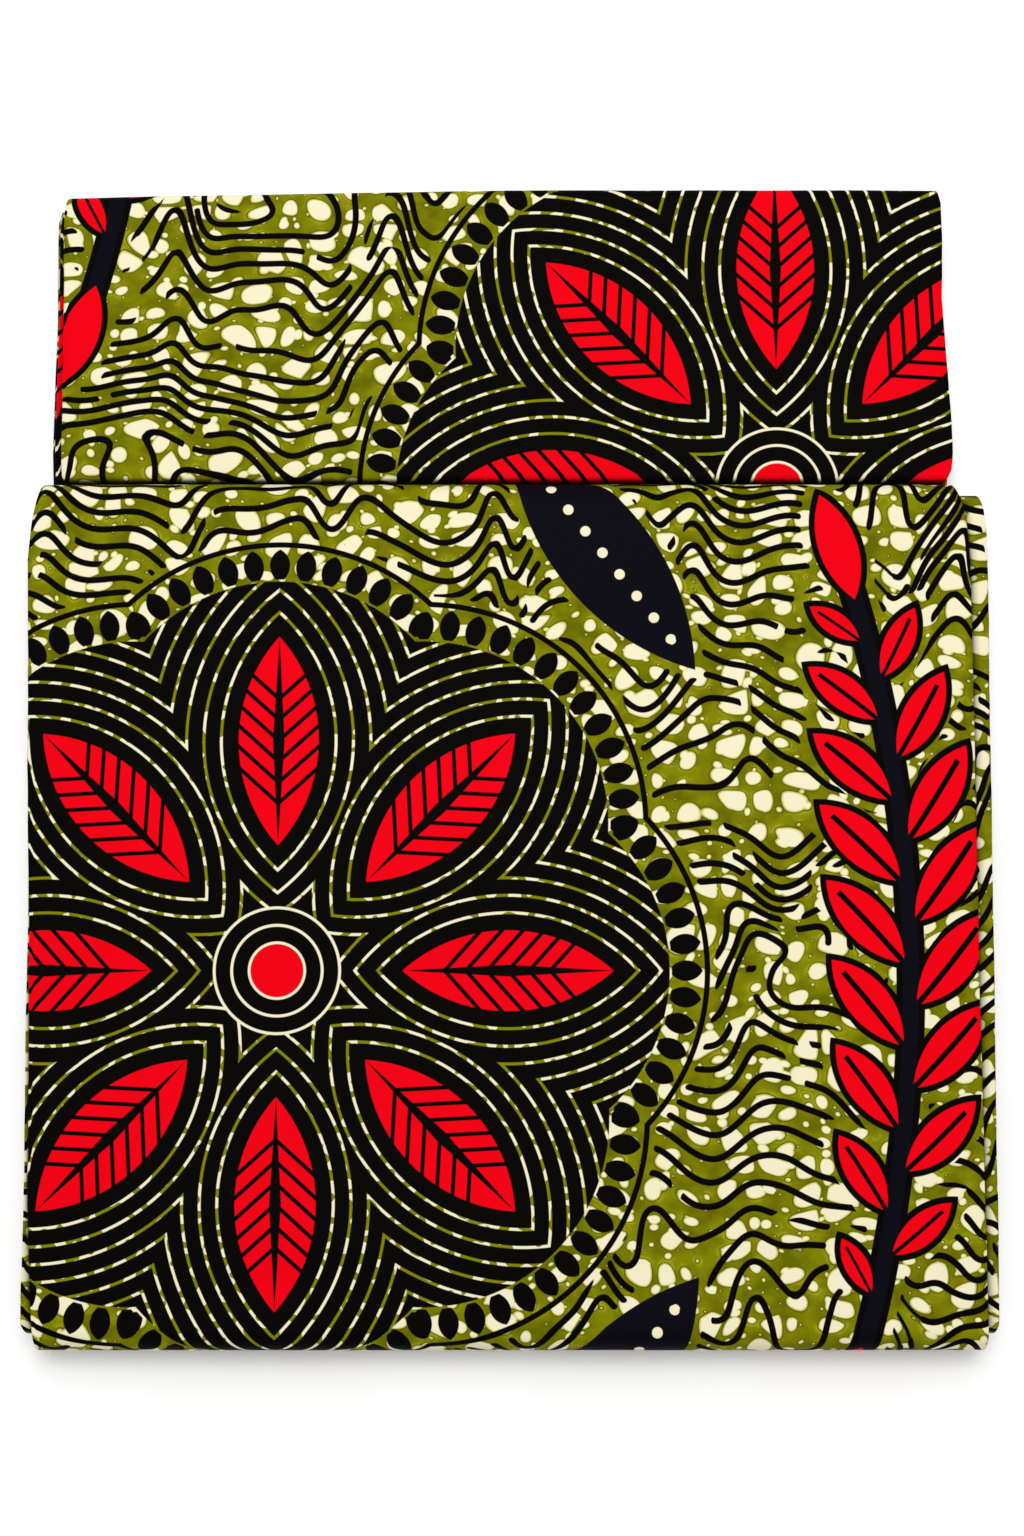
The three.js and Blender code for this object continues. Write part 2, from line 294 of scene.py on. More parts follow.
@dataclass(kw_only=True)
class ClothPiece:
    """A closed piece of cloth whose skin is a grid of cells.

    Each kind of piece says where the grid's points lie and which place of the flat cloth shows
    there. The seed gives a piece small waves of its own, and wander is how far its edges stray.
    """

    node: str
    rests_on: str
    seed: float
    wander: float = 0.35
    cells: GridIndex = field(init=False, default=(1, 1, 1))

    @property
    def name(self) -> str:
        """Return the name of the piece, which is its node's with the word cloth."""
        return f"{self.node}_cloth"

    def point_at(self, i: int, j: int, k: int) -> Point:
        """Return where a point of the grid lies, in millimetres."""
        raise NotImplementedError

    def print_at(self, corner: GridIndex, side: Side, strip_level: int) -> tuple[float, float]:
        """Return the place on the flat cloth of one corner of a face, in millimetres."""
        raise NotImplementedError

    def flat_length(self) -> float:
        """Return the length of cloth in the piece, in millimetres."""
        raise NotImplementedError

    def build(self, cotton: bpy.types.Material) -> None:
        """Build the piece and put it in the place of its node.

        Args:
            cotton: The printed cotton it is cut from.
        """
        piece = bpy.data.objects.new(self.name, self._mesh())
        bpy.context.scene.collection.objects.link(piece)
        piece.data.materials.append(cotton)
        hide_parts(self.node)
        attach(piece, "root")
        LOG.info("%s: %d faces", self.name, len(piece.data.polygons))

    def _mesh(self) -> bpy.types.Mesh:
        """Cut a cube into cells and put each point in its place.

        Returns:
            The piece's mesh, in metres.
        """
        bm = bmesh.new()
        bmesh.ops.create_cube(bm, size=1.0)
        bmesh.ops.translate(bm, verts=bm.verts, vec=(0.5, 0.5, 0.5))
        for axis, count in enumerate(self.cells):
            along = [edge for edge in bm.edges if self._runs_along(edge, axis)]
            bmesh.ops.subdivide_edges(bm, edges=along, cuts=count - 1, use_grid_fill=True)
        index = {vert: self._index_of(vert.co) for vert in bm.verts}
        self._write_print_map(bm, index)
        for vert in bm.verts:
            vert.co = Vector(self.point_at(*index[vert])) * MM
        for face in bm.faces:
            face.smooth = True
        mesh = bpy.data.meshes.new(self.name)
        bm.to_mesh(mesh)
        bm.free()
        return mesh

    @staticmethod
    def _runs_along(edge: bmesh.types.BMEdge, axis: int) -> bool:
        """Return whether an edge of the cube runs along an axis."""
        low, high = edge.verts
        return abs(high.co[axis] - low.co[axis]) > NO_LENGTH

    def _index_of(self, place: Vector) -> GridIndex:
        """Return the grid index of a point of the cut cube."""
        i, j, k = (round(place[axis] * self.cells[axis]) for axis in range(3))
        return i, j, k

    def _side_of(self, corners: list[GridIndex]) -> Side:
        """Find the side of the block that a face is on.

        Args:
            corners: The grid indices of the face's corners.

        Returns:
            The side.
        """
        names = ((Side.LEFT, Side.RIGHT), (Side.FRONT, Side.BACK), (Side.BOTTOM, Side.TOP))
        for axis, (low, high) in enumerate(names):
            if all(corner[axis] == 0 for corner in corners):
                return low
            if all(corner[axis] == self.cells[axis] for corner in corners):
                return high
        return Side.TOP

    def _write_print_map(
        self, bm: bmesh.types.BMesh, index: dict[bmesh.types.BMVert, GridIndex]
    ) -> None:
        """Write each face corner's place on the flat cloth to the UV map.

        Args:
            bm: The cut cube.
            index: The grid index of each of its points.
        """
        layer = bm.loops.layers.uv.new(CLOTH_MAP)
        for face in bm.faces:
            corners = [index[vert] for vert in face.verts]
            side = self._side_of(corners)
            strip_level = min(corner[2] for corner in corners)
            for loop in face.loops:
                across, along = self.print_at(index[loop.vert], side, strip_level)
                loop[layer].uv = (across * MM, along * MM)


# ------------------------------------------------------------------ stretches of the strip


@dataclass(frozen=True)
class Station:
    """A place on the path of a stretch, which way is out there, and the cloth run so far."""

    y: float
    z: float
    normal_y: float
    normal_z: float
    run: float = 0.0


def with_runs(stations: list[Station]) -> list[Station]:
    """Measure the cloth along a path.

    Args:
        stations: The path's stations.

    Returns:
        The stations with the length of cloth from the first one to each.
    """
    measured = [stations[0]]
    for at in stations[1:]:
        run = measured[-1].run + math.hypot(at.y - measured[-1].y, at.z - measured[-1].z)
        measured.append(Station(at.y, at.z, at.normal_y, at.normal_z, run))
    return measured


@dataclass(frozen=True)
class Loop:
    """A path that goes all round a pile, so many stretches in from the outside."""

    front: float
    back: float
    bottom: float
    top: float
    reach: float
    stretches_in: int = 0
    opening: float = 6.0
    arc_steps: int = 22
    top_spacing: float = 2.6
    bottom_spacing: float = 9.0

    @property
    def depth(self) -> float:
        """Return the depth of the wall's middle below the outermost face."""
        return self.stretches_in * STRIP_PITCH + STRIP_WALL / 2

    def _arc(self, centre_y: float, start: float) -> list[Station]:
        """Lay stations round one end, half a turn with the clock.

        Args:
            centre_y: The middle of the round end.
            start: Where the turn starts, in degrees.

        Returns:
            The stations.
        """
        rise = (self.top - self.bottom) / 2
        middle = (self.top + self.bottom) / 2
        stations = []
        for step in range(self.arc_steps + 1):
            angle = math.radians(start - 180 * step / self.arc_steps)
            out = Vector((rise * math.cos(angle), self.reach * math.sin(angle))).normalized()
            y = centre_y + self.reach * math.cos(angle) - out.x * self.depth
            z = middle + rise * math.sin(angle) - out.y * self.depth
            stations.append(Station(y, z, out.x, out.y))
        return stations

    def stations(self) -> list[Station]:
        """Lay the whole path, from its end under the pile, round the front and over the top.

        Returns:
            The path's stations.
        """
        front_y = self.front + self.reach
        back_y = self.back - self.reach
        stop = back_y - self.opening
        under = grid_lines(stop - front_y, PATH_END, self.bottom_spacing)[:-1]
        over = grid_lines(back_y - front_y, PATH_END, self.top_spacing)[1:-1]
        return with_runs(
            [
                *(Station(stop - part, self.bottom + self.depth, 0, -1) for part in under),
                *self._arc(front_y, 270),
                *(Station(front_y + part, self.top - self.depth, 0, 1) for part in over),
                *self._arc(back_y, 90),
            ]
        )


@dataclass(frozen=True)
class FlatRun:
    """A path that runs level and straight from the front to the back."""

    front: float
    back: float
    bottom: float
    spacing: float = 4.0

    def stations(self) -> list[Station]:
        """Lay the path.

        Returns:
            The path's stations.
        """
        height = self.bottom + STRIP_WALL / 2
        lines = grid_lines(self.back - self.front, PATH_END, self.spacing)
        return with_runs([Station(self.front + part, height, 0, 1) for part in lines])


@dataclass(kw_only=True)
class Stretch(ClothPiece):
    """A stretch of the strip: four plies that run along a path.

    The left edge is one fold, and the right edge is a fold below two selvedges. The flower is
    where the middle of a flower of the print lies on top of it.
    """

    path: Loop | FlatRun
    edges: tuple[EdgeRow, ...]
    flower: tuple[float, float]
    levels: int = 16
    edge_line: float = 1.8
    spacing: float = 2.8
    pucker: float = 0.09  # how far its face stands off the path in places
    pucker_across: float = 17.0
    pucker_along: float = 23.0
    pucker_seed: float = 9.0  # added to the seed, so that the face and edges differ
    selvedge_inset: float = 0.15
    fold_wall: float = 0.5  # the share of the wall that the fold below the selvedges takes
    ply_wall: float = 0.25
    fold_stray: Stray = Stray(wave=46.0, ripple=9.0, ripple_share=0.4)
    open_stray: Stray = Stray(wave=38.0, ripple=8.0, ripple_share=0.5)
    stations: list[Station] = field(init=False)
    across: list[float] = field(init=False)
    flower_run: float = field(init=False)

    def __post_init__(self) -> None:
        """Lay out the grid."""
        self.stations = self.path.stations()
        lines = grid_lines(STRIP_WIDTH, self.edge_line, self.spacing)
        self.across = [line / STRIP_WIDTH for line in lines]
        self.cells = (len(self.across) - 1, len(self.stations) - 1, self.levels)
        upper = [station for station in self.stations if station.normal_z > FACES_UP]
        nearest = min(upper, key=lambda station: abs(station.y - self.flower[1]))
        self.flower_run = nearest.run + self.flower[1] - nearest.y

    def flat_length(self) -> float:
        """Return the length of cloth in the stretch, in millimetres."""
        return self.stations[-1].run

    def _fold_inset(self, level: float, run: float) -> float:
        """Return how far the folded edge on the left is drawn in at a level from 0 to 1."""
        stray = self.fold_stray.at(run, (0, self.seed), (3, self.seed))
        return round_inset(level, STRIP_WALL) + self.wander * stray

    def _open_inset(self, level: float, run: float) -> float:
        """Return how far the edge on the right is drawn in: one fold below two selvedges.

        Args:
            level: The level in the wall, from 0 to 1.
            run: The length of cloth from the start of the path.

        Returns:
            The distance in from the edge's own line.
        """
        if level <= self.fold_wall:
            ply = 0
            inset = round_inset(level / self.fold_wall, STRIP_WALL * self.fold_wall)
        else:
            ply = 1 if level <= self.fold_wall + self.ply_wall else 2
            share = (level - self.fold_wall - self.ply_wall * (ply - 1)) / self.ply_wall
            inset = round_inset(share, STRIP_WALL * self.ply_wall) + self.selvedge_inset
        return inset + self.wander * self.open_stray.at(run, (5 + ply, self.seed), (ply, self.seed))

    def point_at(self, i: int, j: int, k: int) -> Point:
        """Return where a point of the grid lies.

        Args:
            i: The line across the strip.
            j: The station along the path.
            k: The level through the wall.

        Returns:
            The point, in millimetres.
        """
        station = self.stations[j]
        level = k / self.levels
        left, right = edges_at(self.edges, station.y)
        if i == 0:
            left += self._fold_inset(level, station.run)
        if i == self.cells[0]:
            right -= self._open_inset(level, station.run)
        x = mix(left, right, self.across[i])
        face = soft_noise(
            x / self.pucker_across, station.run / self.pucker_along, self.seed + self.pucker_seed
        )
        out = (level - 0.5) * STRIP_WALL + self.pucker * face
        end = 0.0
        if j == 0:
            end = round_inset(level, STRIP_WALL)
        if j == self.cells[1]:
            end = -round_inset(level, STRIP_WALL)
        y = station.y + station.normal_y * out + station.normal_z * end
        z = station.z + station.normal_z * out - station.normal_y * end
        return SETTLING.move(x, y, z)

    def print_at(self, corner: GridIndex, side: Side, strip_level: int) -> tuple[float, float]:
        """Return the place on the flat cloth of one corner of a face.

        Args:
            corner: The corner's grid index.
            side: The side of the piece that the face is on.
            strip_level: Not used here; the face's lowest level makes no difference in a single
                strip.

        Returns:
            The place across and along the cloth, in millimetres.
        """
        i, j, k = corner
        station = self.stations[j]
        across = mix(*edges_at(self.edges, station.y), self.across[i])
        round_edge = (1 - k / self.levels) * STRIP_WALL
        across += {Side.LEFT: -round_edge, Side.RIGHT: round_edge}.get(side, 0.0)
        along = station.run - self.flower_run
        return across - self.flower[0] + PRINT.flower_across, along + PRINT.flower_along


# ------------------------------------------------------------------ blocks of hidden layers


@dataclass(frozen=True)
class StripRow:
    """The edges of one hidden strip.

    The left and right count from the block's outline, if it has one. In a pile, the front and
    back are how far the strip stops short of the loop that goes round it.
    """

    left: float
    right: float
    front: float
    back: float


@dataclass(frozen=True)
class Level:
    """A level of a layered block: its strip, the share of the strip's wall, and its height."""

    strip: int
    share: float
    z: float


@dataclass(kw_only=True)
class LayeredBlock(ClothPiece):
    """Hidden strips that share one solid, with every strip's edge showing all round.

    At the front the first strip makes one roll with the second, the third with the fourth and so
    on. At the back it is the second with the third. The open edges show a split between plies.
    """

    bottom: float
    rows: tuple[StripRow, ...]
    loop: Loop | None = None
    outline: tuple[EdgeRow, ...] = (EdgeRow(y=0, left=0, right=0),)
    wall_cells: int = 8
    edge_line: float = 3.4
    spacing: float = 4.6
    groove: float = 0.6  # how much deeper the line between two strips is than their round edges
    corner: float = 1.2
    roll_fade: float = 4.0  # near its end, a roll has no groove between its two strips
    split: float = 0.3
    stray: Stray = Stray(wave=55.0, ripple=11.0, ripple_share=0.3)
    wave_apart: float = 3.7  # how far apart in the noise the strips are, for their waves
    ripple_apart: float = 2.3  # and for their ripples
    levels: list[Level] = field(init=False)
    x_shares: list[float] = field(init=False)
    y_shares: list[float] = field(init=False)

    def __post_init__(self) -> None:
        """Lay out the grid."""
        self.levels = [
            Level(strip, cell / self.wall_cells, self._height(strip, cell / self.wall_cells))
            for strip in range(len(self.rows))
            for cell in range(self.wall_cells + 1)
        ]
        front, back = self._ends(0, self.bottom)
        self.x_shares = self._shares(STRIP_WIDTH)
        self.y_shares = self._shares(back - front)
        self.cells = (len(self.x_shares) - 1, len(self.y_shares) - 1, len(self.levels) - 1)

    def flat_length(self) -> float:
        """Return the length of one of its strips, in millimetres."""
        front, back = self._ends(0, self.bottom)
        return back - front

    def _shares(self, size: float) -> list[float]:
        """Return the grid lines over a size as shares of it from 0 to 1."""
        return [line / size for line in grid_lines(size, self.edge_line, self.spacing)]

    def _height(self, strip: int, share: float) -> float:
        """Return the stacked height of a place in the wall of a strip."""
        return self.bottom + strip * STRIP_PITCH + share * STRIP_WALL

    def _ends(self, strip: int, z: float) -> tuple[float, float]:
        """Find the ends of a strip.

        Args:
            strip: The strip's number, from the bottom.
            z: The stacked height, since a loop round the block draws the ends in.

        Returns:
            The front and the back end.
        """
        row = self.rows[strip]
        if self.loop is None:
            return row.front, row.back
        depth = self.loop.depth + STRIP_WALL / 2
        middle = (self.loop.top + self.loop.bottom) / 2
        rise = (self.loop.top - self.loop.bottom) / 2 - depth
        share = min(abs(z - middle) / rise, 1.0)
        inset = depth + (self.loop.reach - depth) * (1 - math.sqrt(1 - share * share))
        return self.loop.front + inset + row.front, self.loop.back - inset - row.back

    def _is_joined(self, strip: int, at_front: bool) -> bool:
        """Return whether a strip is one roll with the strip above it."""
        return 0 <= strip < len(self.rows) - 1 and (strip % 2 == 0) == at_front

    def _groove_at(self, level: Level) -> float:
        """Return the extra depth at the line between two strips, at a level."""
        is_line = level.share in (0.0, 1.0)
        is_outside = level.z in (self.levels[0].z, self.levels[-1].z)
        return self.groove if is_line and not is_outside else 0.0

    def _end_inset(self, level: Level, at_front: bool) -> float:
        """Return how far the front or back end is drawn in: two strips make one round roll.

        Args:
            level: The level.
            at_front: Whether it is the front end.

        Returns:
            The distance in from the strip's own end.
        """
        roll_height = 2 * STRIP_WALL + SEAM_GAP
        height = level.share * STRIP_WALL
        if self._is_joined(level.strip, at_front):
            return round_inset(height / roll_height, roll_height)
        if self._is_joined(level.strip - 1, at_front):
            return round_inset((height + STRIP_PITCH) / roll_height, roll_height)
        return round_inset(level.share, STRIP_WALL) + self._groove_at(level)

    def _side_inset(self, level: Level, y: float, is_left: bool) -> float:
        """Return how far the left or right side is drawn in.

        Args:
            level: The level.
            y: The place along the block.
            is_left: Whether it is the left side.

        Returns:
            The distance in from the strip's own edge.
        """
        near_roll = 1.0
        line_below = level.strip if level.share == 1.0 else level.strip - 1
        for at_front in (True, False):
            if level.share in (0.0, 1.0) and self._is_joined(line_below, at_front):
                front, back = self._ends(level.strip, level.z)
                distance = y - front if at_front else back - y
                near_roll = smooth_step(distance, 0.0, self.roll_fade)
        is_fold = is_left == (level.strip % 2 == 0)
        inset = round_inset(level.share, STRIP_WALL)
        if not is_fold and level.share > 0.5:
            inset = round_inset((level.share - 0.5) * 2, STRIP_WALL / 2) + self.split
        ply = round(level.share * PLIES)
        wave_row = (level.strip * self.wave_apart, self.seed + is_left)
        ripple_row = (level.strip * self.ripple_apart + ply, self.seed)
        stray = self.stray.at(y, wave_row, ripple_row)
        return near_roll * (inset + self._groove_at(level)) + self.wander * stray

    def point_at(self, i: int, j: int, k: int) -> Point:
        """Return where a point of the grid lies.

        Args:
            i: The line across the block.
            j: The line along the block.
            k: The level.

        Returns:
            The point, in millimetres.
        """
        level = self.levels[k]
        row = self.rows[level.strip]
        y = mix(*self._ends(level.strip, level.z), self.y_shares[j])
        left, right = edges_at(self.outline, y)
        left += row.left
        right += row.right
        corner = self.corner if j in (0, self.cells[1]) else 0.0
        if i == 0:
            left += self._side_inset(level, y, True) + corner
        if i == self.cells[0]:
            right -= self._side_inset(level, y, False) + corner
        if j == 0:
            y += self._end_inset(level, True)
        if j == self.cells[1]:
            y -= self._end_inset(level, False)
        return SETTLING.move(mix(left, right, self.x_shares[i]), y, level.z)

    def print_at(self, corner: GridIndex, side: Side, strip_level: int) -> tuple[float, float]:
        """Return the place on the flat cloth of one corner of a face.

        Args:
            corner: The corner's grid index.
            side: The side of the block that the face is on.
            strip_level: The face's lowest level, which tells its strip.

        Returns:
            The place across and along the cloth, in millimetres.
        """
        i, j, k = corner
        strip = self.levels[strip_level].strip
        along = mix(*self._ends(strip, self.levels[k].z), self.y_shares[j])
        across = mix(*edges_at(self.outline, along), self.x_shares[i])
        height = self.levels[k].z - self._height(strip, 0.5)
        across += {Side.LEFT: -height, Side.RIGHT: height}.get(side, 0.0)
        along += {Side.FRONT: -height, Side.BACK: height}.get(side, 0.0)
        direction = 1 if strip % 2 == 0 else -1
        return across + strip * STRIP_WIDTH, direction * along + 2 * strip * HALF_LENGTH


# ------------------------------------------------------------------ node drawing


def linear(hex_colour: str) -> tuple[float, float, float, float]:
    """Turn an sRGB colour to the linear values that a shader takes.

    Args:
        hex_colour: The colour, such as "#7E7E02".

    Returns:
        Red, green, blue and alpha.
    """
    parts = [int(hex_colour[at : at + 2], 16) / 255 for at in (1, 3, 5)]
    values = [c / 12.92 if c <= 0.04045 else ((c + 0.055) / 1.055) ** 2.4 for c in parts]
    return values[0], values[1], values[2], 1.0


def add_node(
    tree: bpy.types.NodeTree,
    kind: str,
    settings: dict[str, object] | None = None,
    inputs: dict[int | str, object] | None = None,
) -> bpy.types.Node:
    """Add a node to a tree.

    Args:
        tree: The tree.
        kind: Blender's name for the node, such as "ShaderNodeMath".
        settings: The node's own settings, by name.
        inputs: What each socket gets, by name or number: a socket to link, or a value.

    Returns:
        The new node.
    """
    node = tree.nodes.new(kind)
    for name, value in (settings or {}).items():
        setattr(node, name, value)
    for name, value in (inputs or {}).items():
        if isinstance(value, bpy.types.NodeSocket):
            tree.links.new(value, node.inputs[name])
        else:
            node.inputs[name].default_value = value
    return node


Number = float | bpy.types.NodeSocket


class Formulas:
    """Named formulas over the cloth, drawn as nodes.

    A line such as reach="sqrt(x*x + y*y)" adds the nodes that work it out, and later lines can
    use its name. ink(d) is 1 where the distance d is under 0 and falls to 0 over the width over
    which the dye bleeds, and share(a) keeps a between 0 and 1.
    """

    SIGNS = {ast.Add: "ADD", ast.Sub: "SUBTRACT", ast.Mult: "MULTIPLY", ast.Div: "DIVIDE"}
    WORDS = {
        "abs": "ABSOLUTE",
        "atan2": "ARCTAN2",
        "cos": "COSINE",
        "floor": "FLOOR",
        "less": "LESS_THAN",
        "max": "MAXIMUM",
        "min": "MINIMUM",
        "mod": "FLOORED_MODULO",
        "pingpong": "PINGPONG",
        "sin": "SINE",
        "soft_max": "SMOOTH_MAX",
        "soft_min": "SMOOTH_MIN",
        "sqrt": "SQRT",
    }
    PLAIN = {
        "ADD": lambda a, b: a + b,
        "SUBTRACT": lambda a, b: a - b,
        "MULTIPLY": lambda a, b: a * b,
        "DIVIDE": lambda a, b: a / b,
    }

    def __init__(self, tree: bpy.types.NodeTree, bleed: float, **names: Number) -> None:
        """Set up the names that the first line can use.

        Args:
            tree: The tree to draw in.
            bleed: The width over which a drawn edge fades, in millimetres.
            names: Numbers and sockets by name.
        """
        self.tree = tree
        self.bleed = bleed
        self.names: dict[str, Number] = {"pi": math.pi, **names}

    def __getitem__(self, name: str) -> Number:
        """Return what a name stands for."""
        return self.names[name]

    def let(self, **lines: str | Number) -> Number:
        """Name formulas in order.

        Args:
            lines: The formulas by name, or sockets and numbers to take as they are.

        Returns:
            What the last name stands for.
        """
        value: Number = 0.0
        for name, line in lines.items():
            is_text = isinstance(line, str)
            value = self._value(ast.parse(line).body[0].value) if is_text else line
            self.names[name] = value
        return value

    def _work_out(self, operation: str, *values: Number, clamp: bool = False) -> Number:
        """Work out one operation: as a plain sum where all is known, or else as a node.

        Args:
            operation: Blender's name for it.
            values: What it takes.
            clamp: Whether the result is kept between 0 and 1.

        Returns:
            The result.
        """
        if operation in self.PLAIN and all(isinstance(value, float) for value in values):
            return self.PLAIN[operation](*values)
        settings = {"operation": operation, "use_clamp": clamp}
        return add_node(self.tree, "ShaderNodeMath", settings, dict(enumerate(values))).outputs[0]

    def _value(self, part: ast.AST) -> Number:
        """Work out one part of a formula.

        Args:
            part: The part, as parsed.

        Returns:
            Its number or socket.
        """
        if isinstance(part, ast.Constant):
            return float(part.value)
        if isinstance(part, ast.Name):
            value = self.names[part.id]
            return value if isinstance(value, bpy.types.NodeSocket) else float(value)
        if isinstance(part, ast.UnaryOp):
            return self._work_out("MULTIPLY", self._value(part.operand), -1.0)
        if isinstance(part, ast.BinOp):
            return self._sum(part)
        values = [self._value(argument) for argument in part.args]
        if part.func.id == "ink":
            return self._work_out("MULTIPLY_ADD", values[0], -1 / self.bleed, 0.5, clamp=True)
        if part.func.id == "share":
            return self._work_out("MAXIMUM", values[0], 0.0, clamp=True)
        return self._work_out(self.WORDS[part.func.id], *values)

    def _sum(self, part: ast.BinOp) -> Number:
        """Work out a sum. A product with something added takes one node.

        Args:
            part: The sum, as parsed.

        Returns:
            Its number or socket.
        """
        if isinstance(part.op, ast.Add):
            for product, rest in ((part.left, part.right), (part.right, part.left)):
                if isinstance(product, ast.BinOp) and isinstance(product.op, ast.Mult):
                    values = [self._value(p) for p in (product.left, product.right, rest)]
                    if any(isinstance(value, bpy.types.NodeSocket) for value in values):
                        return self._work_out("MULTIPLY_ADD", *values)
        values = [self._value(part.left), self._value(part.right)]
        return self._work_out(self.SIGNS[type(part.op)], *values)


# ------------------------------------------------------------------ the print


@dataclass(frozen=True)
class Lens:
    """A pointed oval, such as a leaf: what two equal circles have in common."""

    half_length: float
    half_width: float

    def draw(self, work: Formulas, name: str, along: str, aside: str) -> None:
        """Name the distance from its edge, which is negative inside it.

        Args:
            work: The drawing to add it to.
            name: The name for the distance.
            along: The formula for the place along its long axis, from its middle.
            aside: The formula for the distance from that axis.
        """
        radius = (self.half_length**2 + self.half_width**2) / (2 * self.half_width)
        work.let(
            radius=radius,
            sink=radius - self.half_width,
            lens_u=along,
            lens_v=f"{aside} + sink",
            **{name: "sqrt(lens_u * lens_u + lens_v * lens_v) - radius"},
        )


@dataclass(frozen=True)
class Cloud:
    """A soft noise from 0 to 1: the size of its clouds, where it starts, and how it curls."""

    wide: float
    high: float
    start: float = 0.0
    start_along: float = 0.0
    detail: float = 0.0
    curl: float = 0.0

    def draw(self, work: Formulas, name: str, aside: float = 0.0, along: float = 0.0) -> None:
        """Name the noise.

        Args:
            work: The drawing to add it to.
            name: The name for it.
            aside: How much further across the cloth it is read.
            along: How much further along the cloth it is read.
        """
        start = ((self.start + aside) / self.wide, (self.start_along + along) / self.high, 0.0)
        scaled = add_node(
            work.tree,
            "ShaderNodeVectorMath",
            {"operation": "MULTIPLY_ADD"},
            {0: work["place"], 1: (1 / self.wide, 1 / self.high, 0.0), 2: start},
        )
        cloud = add_node(
            work.tree,
            "ShaderNodeTexNoise",
            {"noise_dimensions": "2D"},
            {
                "Vector": scaled.outputs[0],
                "Scale": 1.0,
                "Detail": self.detail,
                "Distortion": self.curl,
            },
        )
        work.let(**{name: cloud.outputs["Fac"]})


